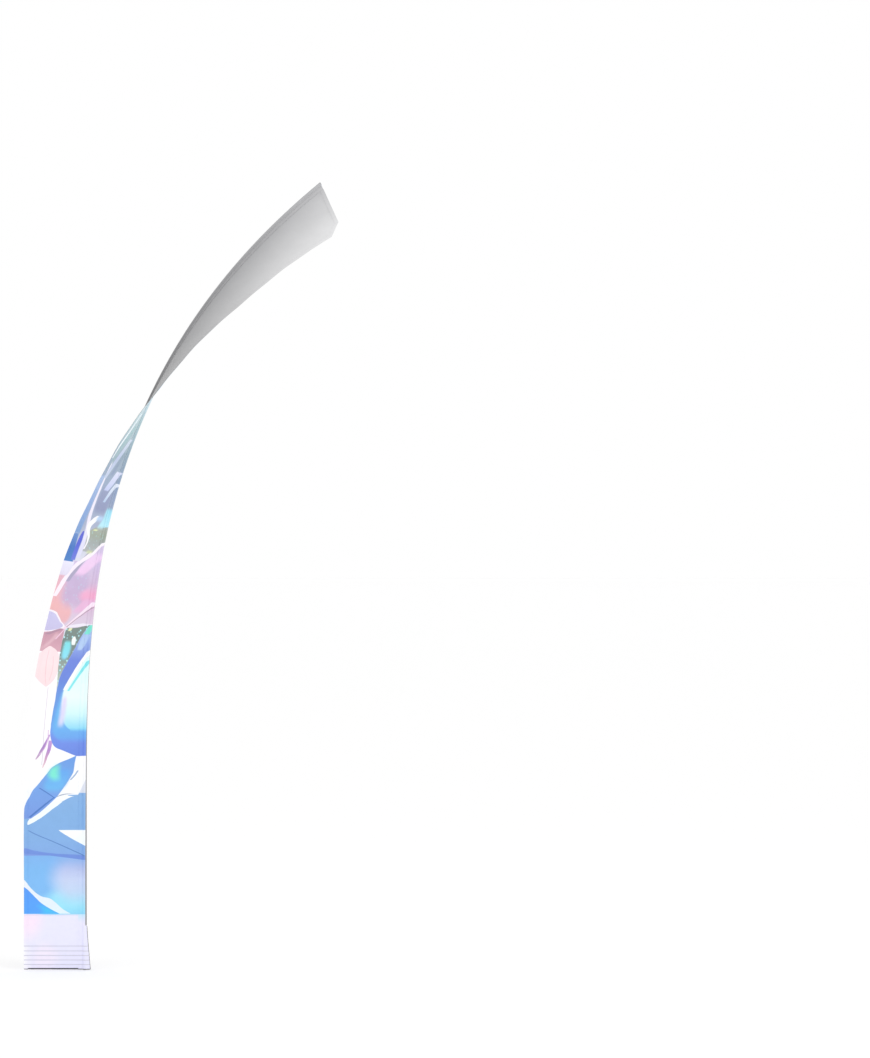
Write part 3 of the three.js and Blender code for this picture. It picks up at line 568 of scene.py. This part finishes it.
def makePrintedFace(name, low, high):
    # knitted polyester, dye printed: soft satin, colours a little cloudy
    material, tree, shader = newMaterial(name, 0.6, sheen=0.1, specular=0.3)
    vector, across, along = layoutOf(tree)
    near = [shape for shape in printedShapes
            if shape["edges"][0][0] < high + zoneMargin and shape["edges"][-1][0] > low - zoneMargin]
    color = paintShapes(tree, vector, across, along, "#dde2ee", near)
    tree.links.new(cloudOver(tree, vector, color, 0.02, 0.975, 1.02), shader.inputs["Base Color"])
    addWeave(tree, shader, vector, pitch=1.6, depth=0.05, strength=0.2)
    print(name, len(near), "shapes")
    return material


zoneMargin = 12
printedFaces = [makePrintedFace(f"printed knitted polyester {index + 1}", low, high)
                for index, (low, high) in enumerate(zip([-50] + printZones, printZones + [3800]))]


def makeGreyBackPaintedShade():
    # blockout coating on the back of the print: grey, with painted shade that is darker near the turn of the
    # cloth and along the pole side, and paler towards the outer corner
    material, tree, shader = newMaterial("grey blockout backing with painted shade", 0.5, sheen=0.1, specular=0.4)
    vector, across, along = layoutOf(tree)
    climb = addNode(tree, "ShaderNodeMapRange", links={"Value": along}, values={1: 2380.0, 2: 3675.0})
    # painted shade: two ramps, the pole side darker than the free edge, both lighter going up from the turn
    shadePoleSide = rampOf(tree, climb.outputs["Result"], ["#7c7c7e", "#8e8e90", "#9e9ea0", "#b6b6b8"])
    shadeFreeSide = rampOf(tree, climb.outputs["Result"], ["#838384", "#aaaaab", "#d0d0d1", "#e4e4e5"])
    share = addNode(tree, "ShaderNodeMapRange", links={"Value": across}, values={1: 0.0, 2: 250.0})
    color = mixColor(tree, share.outputs["Result"], shadePoleSide, shadeFreeSide)
    tree.links.new(cloudOver(tree, vector, color, 0.012, 0.97, 1.02), shader.inputs["Base Color"])
    addWeave(tree, shader, vector, pitch=1.4, depth=0.02, strength=0.04)
    return material


def makeBandCloth():
    # closer, whiter weave than the flag, with a grey strip of painted groove shade along each sewn row
    material, tree, shader = newMaterial("white woven polyester", 0.72, sheen=0.12, specular=0.3)
    vector, across, along = layoutOf(tree)
    color = paintShapes(tree, vector, across, along, "#ecebff", footShapes)
    tree.links.new(cloudOver(tree, vector, color, 0.05, 0.98, 1.01), shader.inputs["Base Color"])
    addWeave(tree, shader, vector, pitch=1.1, depth=0.12)
    return material


def makeWovenCloth(name, colors, low, high, pitch, depth, roughness=0.75, axis="X"):
    material, tree, shader = newMaterial(name, roughness, sheen=0.15, specular=0.3)
    vector, across, along = layoutOf(tree)
    source = across if axis == "X" else along
    run = addNode(tree, "ShaderNodeMapRange", links={"Value": source}, values={1: low, 2: high})
    color = rampOf(tree, run.outputs["Result"], colors)
    tree.links.new(cloudOver(tree, vector, color, 0.05, 0.94, 1.03), shader.inputs["Base Color"])
    addWeave(tree, shader, vector, pitch=pitch, depth=depth)
    return material


# moulded, drawn or turned parts, with grain on Object coordinates
def makeHard(name, color, roughness, metallic, grainScale, grainDepth,
             spread=0.08, brushed=False, specular=0.5):
    material, tree, shader = newMaterial(name, roughness, metallic, specular=specular)
    where = addNode(tree, "ShaderNodeTexCoord")
    scale = (grainScale, grainScale, grainScale * (0.04 if brushed else 1))
    grid = addNode(tree, "ShaderNodeMapping", links={"Vector": where.outputs["Object"]},
                   values={"Scale": scale})
    grain = addNode(tree, "ShaderNodeTexNoise", links={"Vector": grid.outputs["Vector"]},
                    values={"Scale": 1.0, "Detail": 6.0, "Roughness": 0.6})
    rough = addNode(tree, "ShaderNodeMapRange", links={"Value": grain.outputs["Fac"]},
                    values={1: 0.25, 2: 0.75, 3: roughness - spread, 4: roughness + spread})
    tree.links.new(rough.outputs["Result"], shader.inputs["Roughness"])
    tone = addNode(tree, "ShaderNodeMapRange", links={"Value": grain.outputs["Fac"]},
                   values={1: 0.2, 2: 0.8, 3: 0.9, 4: 1.08})
    shaded = addNode(tree, "ShaderNodeVectorMath", links={1: tone.outputs["Result"]},
                     values={0: linearColor(color)[:3]}, operation="MULTIPLY")
    tree.links.new(shaded.outputs["Vector"], shader.inputs["Base Color"])
    bump = addNode(tree, "ShaderNodeBump", links={"Height": grain.outputs["Fac"]},
                   values={"Strength": 0.3, "Distance": grainDepth * mm})
    tree.links.new(bump.outputs["Normal"], shader.inputs["Normal"])
    return material


greyBackPaintedShade = makeGreyBackPaintedShade()
# grey sleeve cloth with painted shade: darker towards the tube's outer rim, where it turns away, lighter towards
# the front
sleeveClothPaintedShade = makeWovenCloth("grey stretch polyester", ["#77777b", "#8c8c90", "#a9a9ad"],
                             -8.4, -2.0, 1.4, 0.03)
bandCloth = makeBandCloth()
darkTape = makeWovenCloth("dark binding tape", ["#1c1b22", "#26252d"], 0.0, 250.0, 1.5, 0.2, 0.8)
webbing = makeWovenCloth("polyester webbing", ["#24242a", "#2c2c33"], -150.0, 0.0, 1.6, 0.35, 0.7)
elastic = makeWovenCloth("woven elastic", ["#2a2a31", "#1f1f25"], -90.0, 0.0, 1.2, 0.35, 0.6)
thread = makeWovenCloth("polyester thread", ["#cfcfe0", "#d6d4e2"], 0.0, 260.0, 0.6, 0.1, 0.6)
anodised = makeHard("satin anodised aluminium", "#9a9ea4", 0.34, 1.0, 900, 0.01, brushed=True)
turnedAlloy = makeHard("turned aluminium", "#b4b6ba", 0.28, 1.0, 1200, 0.01)
glassFibre = makeHard("pultruded glass fibre", "#c2c6ca", 0.38, 0.0, 700, 0.03, brushed=True)
springSteel = makeHard("spring steel", "#9c9c9c", 0.25, 1.0, 1500, 0.005)
nickel = makeHard("nickel plated steel", "#bdb9b2", 0.2, 1.0, 500, 0.004, spread=0.05)
nylon = makeHard("moulded black nylon", "#1b1b1e", 0.5, 0.0, 1800, 0.05)
acetal = makeHard("moulded acetal", "#232326", 0.36, 0.0, 1100, 0.02)
pocketCloth = makeHard("heavy nylon cloth", "#2c2c33", 0.8, 0.0, 900, 0.2)
print("feather flag: materials made")

nodeFinish = {
    "spindle_bushing": acetal,
    "base_tube": anodised,
    "lower_ferrule": turnedAlloy,
    "middle_ferrule": turnedAlloy,
    "upper_ferrule": turnedAlloy,
    "middle_tube": glassFibre,
    "upper_rod": glassFibre,
    "tip_rod": glassFibre,
    "snap_button": springSteel,
    "button_spring": springSteel,
    "gate_pin": springSteel,
    "tip_cap": nylon,
    "tip_pocket": pocketCloth,
    "foot_collar": nylon,
    "snap_hook": nickel,
    "hook_gate": nickel,
    "tension_ring": nickel,
}
for nodeName, finish in nodeFinish.items():
    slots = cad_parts[nodeName].data.materials
    slots.clear()
    slots.append(finish)

# camera, floor and light

studio = {
    "lens": 200,
    "view": 4.549,  # metres from the bottom of the picture to its top
    "middle": (1.506, 1.894),
    "floorSize": 400,
}
cameraData = bpy.data.cameras.new("studioCamera")
cameraData.lens = studio["lens"]
cameraData.sensor_width = 36
cameraData.clip_end = 1000
camera = bpy.data.objects.new("studioCamera", cameraData)
bpy.context.scene.collection.objects.link(camera)
distance = studio["lens"] / 36 * studio["view"]
camera.location = (studio["middle"][0], -distance, studio["middle"][1])
camera.rotation_euler = (math.radians(90), 0, 0)
bpy.context.scene.camera = camera

bpy.ops.object.select_all(action="DESELECT")
bpy.ops.mesh.primitive_plane_add(size=studio["floorSize"], location=(0, 0, -0.002))
floor = bpy.context.object
floor.name = "studioFloor"
floorPaint, _, floorShader = newMaterial("matt white floor", 0.9, specular=0.1)
floorShader.inputs["Base Color"].default_value = linearColor("#ffffff")
floor.data.materials.append(floorPaint)

world = bpy.data.worlds.new("studioWorld")
world.use_nodes = True
world.node_tree.nodes["Background"].inputs["Color"].default_value = (1, 1, 1, 1)
world.node_tree.nodes["Background"].inputs["Strength"].default_value = 1.0
bpy.context.scene.world = world
bpy.context.scene.view_settings.view_transform = "Standard"


def addLamp(name, place, aim, size, power):
    data = bpy.data.lights.new(name, "AREA")
    data.shape = "DISK"
    data.size = size
    data.energy = power
    lamp = bpy.data.objects.new(name, data)
    bpy.context.scene.collection.objects.link(lamp)
    lamp.location = place
    way = np.array(aim) - np.array(place)
    flatWay = math.hypot(way[0], way[1])
    lamp.rotation_euler = (math.atan2(flatWay, -way[2]), 0, math.atan2(way[1], way[0]) - math.pi / 2)
    return lamp


addLamp("keyLamp", (4.5, -7.0, 6.0), (0.5, 0, 2.2), 3.0, 60)
print("feather flag: stage set")

# the flag's cloth


# each face's middle as laid flat: across, along and through
def facePlaces(piece):
    mesh = piece.data
    layout = np.empty(len(mesh.vertices) * 3)
    mesh.attributes["layout"].data.foreach_get("vector", layout)
    corners = np.empty(len(mesh.loops), dtype=np.int32)
    mesh.loops.foreach_get("vertex_index", corners)
    starts = np.empty(len(mesh.polygons), dtype=np.int32)
    mesh.polygons.foreach_get("loop_start", starts)
    counts = np.empty(len(mesh.polygons), dtype=np.int32)
    mesh.polygons.foreach_get("loop_total", counts)
    return np.add.reduceat(layout.reshape(-1, 3)[corners], starts, axis=0) / counts[:, None]


# front and back of a piece take their own cloth, and so does a fold by the pole
def finishBySide(piece, edge=None, edgeAcross=0.0, footBack=None, frontFrom=-0.1):
    piece.data.materials.clear()
    for material in printedFaces + [greyBackPaintedShade, edge or greyBackPaintedShade, footBack or greyBackPaintedShade]:
        piece.data.materials.append(material)
    backSlot = len(printedFaces)
    across, along, through = facePlaces(piece).T
    slots = np.searchsorted(printZones, along)
    if footBack:
        slots = np.where(through > frontFrom, slots,
                         np.where(along < clothCut["bandHeight"], backSlot + 2, backSlot))
    else:
        slots = np.where(through > frontFrom, slots, backSlot)
    if edge:
        slots = np.where(across < edgeAcross, backSlot + 1, slots)
    piece.data.polygons.foreach_set("material_index", slots.astype(np.int32))
    piece.data.update()


length = poleLine["length"]
clothFoot = 5.5
clothStart = clothCut["sleeveRadius"] + 1.4
topRows = [length - clothCut["chamferDrop"], length - clothCut["shoulderDrop"], length]
straightRows = 620


# rows that fall on the top corner's marks
def rowMarksFor(foot, top, rows):
    marks = list(np.linspace(foot, topRows[0], rows - 20)) + list(np.linspace(topRows[0], topRows[1], 11)[1:])
    if top > topRows[1]:
        marks += list(np.linspace(topRows[1], top, 13)[1:])
    return [(mark - foot) / (top - foot) for mark in marks]


def layCloth(u, v):
    along = clothFoot + (length - clothFoot) * v
    across = clothStart + (edgeAt(along) - clothStart) * (1 - u)
    return across, np.zeros_like(across), along


clothMarks = rowMarksFor(clothFoot, length, straightRows)
flagCloth = sewnSheet("flagCloth", 56, len(clothMarks) - 1, layCloth, 0.5, [printedFaces[0], greyBackPaintedShade],
                      rowMarks=clothMarks)
frontMask = np.empty(len(flagCloth.data.polygons), dtype=np.int32)
flagCloth.data.polygons.foreach_get("material_index", frontMask)
finishBySide(flagCloth)
clothSlots = np.empty(len(flagCloth.data.polygons), dtype=np.int32)
flagCloth.data.polygons.foreach_get("material_index", clothSlots)
clothSlots[frontMask == 1] = len(printedFaces)
flagCloth.data.polygons.foreach_set("material_index", clothSlots)
rideFlag(flagCloth, "flag_cloth")
print("feather flag: cloth laid")


# a strip folded round an edge: from the back ply, round the edge, to the front ply
def foldPath(u, width, half, reach):
    turn = half * math.pi / 2
    run = 2 * (width + turn)
    gone = u * run
    back = gone < width
    bend = (gone >= width) & (gone < width + 2 * turn)
    angle = np.clip((gone - width) / (2 * turn), 0, 1) * math.pi
    x = np.where(back, gone - width, np.where(bend, np.sin(angle) * half, -(gone - width - 2 * turn)))
    t = np.where(back, -half, np.where(bend, -np.cos(angle) * half, half))
    return x + reach, t


foldHalf = 0.95


def layFreeHem(u, v):
    foot = clothCut["foot"]
    along = foot + (length - clothCut["shoulderDrop"] - foot) * v
    x, t = foldPath(1 - u, clothCut["hemWidth"], foldHalf, 0)
    return edgeAt(along) + x, -t, along


hemMarks = rowMarksFor(clothCut["foot"], length - clothCut["shoulderDrop"], straightRows)
freeEdgeHem = sewnSheet("freeEdgeHem", 14, len(hemMarks) - 1, layFreeHem, 0.45, [greyBackPaintedShade, greyBackPaintedShade],
                        rowMarks=hemMarks)


def layTopHem(u, v):
    across = clothCut["tailEnd"] + 1 + (clothCut["shoulderWidth"] - clothCut["tailEnd"] - 1.4) * v
    share = (across - clothCut["tailEnd"]) / (clothCut["shoulderWidth"] - clothCut["tailEnd"])
    x, t = foldPath(1 - u, clothCut["hemWidth"], foldHalf + 0.5, 0)  # lies over the free edge's hem
    return across, t, length - clothCut["shoulderDrop"] * share + x


topHem = sewnSheet("topHem", 14, 40, layTopHem, 0.45, [greyBackPaintedShade, greyBackPaintedShade])
rideFlag(freeEdgeHem, "free_edge_hem")
rideFlag(topHem, "top_hem")


finishBySide(freeEdgeHem, footBack=bandCloth)
finishBySide(topHem)


# from the back tail, round the pole, to the front tail
def loopPath(u, radius, tailEnd, half):
    meet = math.asin(half / radius)
    tail = tailEnd - radius * math.cos(meet)
    arc = radius * (2 * math.pi - 2 * meet)
    run = 2 * tail + arc
    gone = u * run
    angle = np.clip((gone - tail) / arc, 0, 1) * (2 * math.pi - 2 * meet) + meet
    onBack = gone < tail
    onFront = gone > tail + arc
    x = np.where(onBack, tailEnd - gone, np.where(onFront, radius * math.cos(meet) + gone - tail - arc,
                                                  radius * np.cos(angle)))
    t = np.where(onBack, -half, np.where(onFront, half, -radius * np.sin(angle)))
    return x, t


def laySleeve(u, v):
    foot = clothCut["mouthHeight"] - 1
    x, t = loopPath(1 - u, clothCut["sleeveRadius"], clothCut["tailEnd"], foldHalf)
    peak = clothCut["sleevePeak"] * (clothCut["tailEnd"] - x) / (clothCut["tailEnd"] + clothCut["sleeveRadius"])
    along = foot + (length + peak - foot) * v
    ring = np.clip((clothCut["sleeveRadius"] - x) / clothCut["sleeveRadius"], 0, 1)
    slack = 0.07 * np.sin(2 * np.pi * along / 37 + 2 * np.sin(along / 90)) * ring
    return x - slack, t * (1 - 0.02 * ring), along


poleSleeve = sewnSheet("poleSleeve", 34, 560, laySleeve, 0.5, [sleeveClothPaintedShade, sleeveClothPaintedShade])
finishBySide(poleSleeve, edge=sleeveClothPaintedShade, edgeAcross=-2.6)
rideFlag(poleSleeve, "pole_sleeve")


cuff = {
    "slack": 0.3,  # wider than the sleeve
    "flare": 1.85,  # how much wider the mouth's outer half is at the foot
    "deepen": 0.6,  # how much deeper front to back
    "windowTurns": (16, 158),  # degrees round the pole, opened at the back
    "windowHeight": 62,
    "windowRadius": 8.1,  # the turns are reckoned as on a cuff of this radius
}


def openingAt(height):
    return np.power(1 - np.clip(height / clothCut["mouthHeight"], 0, 1), 1.2)


def layMouth(u, v):
    along = clothCut["foot"] + (clothCut["mouthHeight"] - clothCut["foot"]) * v
    radius = clothCut["sleeveRadius"] + cuff["slack"]
    x, t = loopPath(1 - u, radius, clothCut["tailEnd"], foldHalf + 0.05)
    opened = openingAt(along)
    share = np.clip((radius - x) / radius, 0, 1)
    wide = np.where(x < 0, x * (1 + cuff["flare"] * opened), x)
    return wide, t * (1 + cuff["deepen"] * opened * share), along


sleeveMouth = sewnSheet("sleeveMouth", 60, 64, layMouth, 0.5, [bandCloth, bandCloth])


# opens the back of the cuff for the hook
def cutWindow(piece):
    selectOnly(piece)
    bpy.ops.object.mode_set(mode="EDIT")
    bpy.ops.mesh.select_mode(type="FACE")
    bpy.ops.mesh.select_all(action="DESELECT")
    bpy.ops.object.mode_set(mode="OBJECT")
    low, high = cuff["windowTurns"]
    for face in piece.data.polygons:
        x, y, z = (part / mm for part in face.center)
        opened = openingAt(z)
        closedX = x / (1 + cuff["flare"] * opened) if x < 0 else x
        share = min(1, 1 - closedX / cuff["windowRadius"])
        turn = math.degrees(math.atan2(y / (1 + cuff["deepen"] * opened * share), closedX))
        face.select = low < turn < high and z < cuff["windowHeight"]
    bpy.ops.object.mode_set(mode="EDIT")
    bpy.ops.mesh.delete(type="FACE")
    bpy.ops.mesh.select_mode(type="EDGE")
    bpy.ops.mesh.select_all(action="DESELECT")
    bpy.ops.mesh.select_non_manifold(extend=False, use_wire=False, use_multi_face=False,
                                     use_non_contiguous=False, use_verts=False)
    bpy.ops.mesh.bridge_edge_loops()
    bpy.ops.object.mode_set(mode="OBJECT")


cutWindow(sleeveMouth)
rideFlag(sleeveMouth, "sleeve_mouth")


def layBand(u, v):
    low, high = clothCut["tailEnd"] + 0.3, clothCut["width"] - clothCut["hemWidth"] - 0.3
    across = low + (high - low) * u
    x, t = foldPath(v, clothCut["bandHeight"] - 6, foldHalf, 0)
    return across, t, 5.2 - x


bottomBand = sewnSheet("bottomBand", 48, 120, layBand, 0.5, [bandCloth, bandCloth])
rideFlag(bottomBand, "bottom_band")


def layBinding(u, v):
    low, high = clothCut["tailEnd"] + 0.3, clothCut["width"] - clothCut["hemWidth"] - 0.3
    x, t = foldPath(v, 3.0, foldHalf + 0.75, 0)
    return low + (high - low) * u, t, 3.6 - x - 0.6


bottomBinding = sewnSheet("bottomBinding", 40, 16, layBinding, 0.4, [darkTape, darkTape])
rideFlag(bottomBinding, "bottom_binding")


# a round cord of cloth along given points
def addTube(name, points, radius, material, steps=3):
    curve = bpy.data.curves.new(name, "CURVE")
    curve.dimensions = "3D"
    curve.bevel_depth = radius * mm
    curve.bevel_resolution = steps
    curve.use_fill_caps = True
    spline = curve.splines.new("POLY")
    spline.points.add(len(points) - 1)
    for spot, point in zip(spline.points, points):
        spot.co = (*[c * mm for c in point], 1)
    piece = bpy.data.objects.new(name, curve)
    bpy.context.scene.collection.objects.link(piece)
    selectOnly(piece)
    bpy.ops.object.convert(target="MESH")
    piece = bpy.context.object
    piece.data.materials.append(material)
    bpy.ops.object.shade_smooth()
    return piece


pipingHeights = np.linspace(1.4, 187, 40)
pipingOut = clothCut["sleeveRadius"] * (1 + cuff["flare"] * openingAt(pipingHeights)) + 1.2
mouthPiping = addTube("mouthPiping", [(x, 0, z) for x, z in zip(pipingOut, pipingHeights)], 1.25, darkTape)
rideFlag(mouthPiping, "mouth_piping")
print("feather flag: hems, sleeve and band sewn")

# tension gear behind the foot

gear = {
    "height": 22,
    "line": 12.1,  # how far the hook's middle stands behind the pole
    "ringMiddle": -92,
    "ringRadius": 11,
    "ringLine": 6.6,
    "barMiddle": -34.0,
    "strapWidth": 10,
}


# a band of webbing that follows a line of points seen from above
def layPath(points, width, height):
    line = np.array(points, dtype=float)
    steps = np.concatenate([[0], np.cumsum(np.hypot(*np.diff(line, axis=0).T))])
    steps /= steps[-1]

    def lay(u, v):
        return (np.interp(u, steps, line[:, 0]), np.interp(u, steps, line[:, 1]),
                height + (v - 0.5) * width)
    return lay


def roundTurn(middleX, middleY, halfX, halfY, start, end, count=9):
    turns = np.radians(np.linspace(start, end, count))
    return [(middleX + halfX * math.cos(a), middleY + halfY * math.sin(a)) for a in turns]


ringEdge = gear["ringMiddle"] + gear["ringRadius"]
strapPoints = (
    [(ringEdge + 12, gear["ringLine"] + 1.0)]
    + roundTurn(ringEdge - 1.2, gear["ringLine"], 1.9, 2.1, 70, 290)
    + [(ringEdge + 12, gear["ringLine"] - 0.5), (gear["barMiddle"] - 13, gear["line"] - 1.7)]
    + roundTurn(gear["barMiddle"] + 0.4, gear["line"], 1.9, 3.6, -110, 110)
    + [(gear["barMiddle"] - 13, gear["line"] - 0.1), (ringEdge + 8, gear["ringLine"] + 1.6)]
)
tensionStrap = sewnSheet("tensionStrap", 120, 8, layPath(strapPoints, gear["strapWidth"], gear["height"]), 1.0,
                         [elastic, elastic], flat=True)
rideFlag(tensionStrap, "tension_strap")

tabFar = gear["ringMiddle"] - gear["ringRadius"] - 46
tabBend = gear["ringMiddle"] - gear["ringRadius"] + 4
tabPoints = (
    [(tabFar, 2.6), (tabBend - 4, 2.7)]
    + roundTurn(tabBend - 0.4, gear["ringLine"] - 0.4, 2.0, 3.2, -80, 80)
    + [(tabBend - 16, gear["ringLine"] + 1.2), (tabFar + 10, 4.2), (tabFar + 8, 4.1)]
)
ringTab = sewnSheet("ringTab", 90, 10, layPath(tabPoints, 14, gear["height"]), 1.0, [webbing, webbing], flat=True)
rideFlag(ringTab, "ring_tab")
print("feather flag: tension gear made")

# stitching

stitch = {"length": 3.4, "pitch": 5.0, "radius": 0.42}


# one stitch: a short thread that dips into the cloth at both ends
def baseStitch():
    bpy.ops.object.select_all(action="DESELECT")
    bpy.ops.mesh.primitive_cylinder_add(vertices=6, radius=stitch["radius"], depth=stitch["length"])
    piece = bpy.context.object
    bpy.ops.object.mode_set(mode="EDIT")
    bpy.ops.mesh.select_all(action="SELECT")
    bpy.ops.mesh.bisect(plane_co=(0, 0, 0.9), plane_no=(0, 0, 1))
    bpy.ops.mesh.select_all(action="SELECT")
    bpy.ops.mesh.bisect(plane_co=(0, 0, -0.9), plane_no=(0, 0, 1))
    bpy.ops.object.mode_set(mode="OBJECT")
    spots = np.array([v.co for v in piece.data.vertices])
    faces = [list(f.vertices) for f in piece.data.polygons]
    bpy.data.objects.remove(piece)
    dip = np.where(np.abs(spots[:, 2]) > 1.2, -0.45, 0.0)
    spots[:, 1] += dip
    return spots, faces


stitchSpots, stitchFaces = baseStitch()


# rows of stitches: each run gives across, along, side and whether it runs up the flag
def sewRow(name, runs, material=thread, matched=False):
    spots, faces, layout = [], [], []
    for across, along, side, upward in runs:
        across, along = np.broadcast_arrays(np.asarray(across, float), np.asarray(along, float))
        for middleAcross, middleAlong in zip(across, along):
            base = len(spots) * len(stitchSpots)
            local = stitchSpots
            alongAxis = local[:, 2]
            if upward:
                a, s = middleAcross + local[:, 0], middleAlong + alongAxis
            else:
                a, s = middleAcross + alongAxis, middleAlong + local[:, 0]
            t = side * (foldHalf + 0.4 + local[:, 1])
            spots.append(carry(a, t + rippleAt(a, s), s))
            layout.append(np.stack([a, s, t], axis=-1))
            order = 1 if (side > 0) == upward else -1
            faces += [[base + i for i in face][::order] for face in stitchFaces]
    mesh = bpy.data.meshes.new(name)
    mesh.from_pydata(np.concatenate(spots).tolist(), [], faces)
    painted = mesh.attributes.new("layout", "FLOAT_VECTOR", "POINT")
    painted.data.foreach_set("vector", np.concatenate(layout).ravel())
    mesh.materials.append(material)
    piece = bpy.data.objects.new(name, mesh)
    bpy.context.scene.collection.objects.link(piece)
    selectOnly(piece)
    bpy.ops.object.mode_set(mode="EDIT")
    bpy.ops.mesh.select_all(action="SELECT")
    bpy.ops.mesh.normals_make_consistent(inside=False)
    bpy.ops.object.mode_set(mode="OBJECT")
    bpy.ops.object.shade_smooth()
    if matched:
        finishBySide(piece, frontFrom=0.0)
    rideFlag(piece)
    return piece


bandAcross = np.arange(clothCut["tailEnd"] + 4, clothCut["width"] - 2, stitch["pitch"])
bandRows = stitchRows["heights"]
bandStitches = sewRow("bandStitches",
                      [(bandAcross, row, side, False) for row in bandRows for side in (1, -1)])
bandTop = sewRow("bandTopStitches",
                 [(bandAcross, clothCut["bandHeight"] - 4, side, False) for side in (1, -1)])
hemAlong = np.arange(6, length - clothCut["chamferDrop"], stitch["pitch"])
hemStitches = sewRow("hemStitches",
                     [(clothCut["width"] - 13, hemAlong, side, True) for side in (1, -1)], matched=True)
tailAlong = np.arange(8, length - 30, stitch["pitch"])
tailStitches = sewRow("sleeveStitches", [(across, tailAlong, side, True)
                                         for across in (12.5, 24.5) for side in (1, -1)], matched=True)
print("feather flag: stitched")

print("feather flag: done")
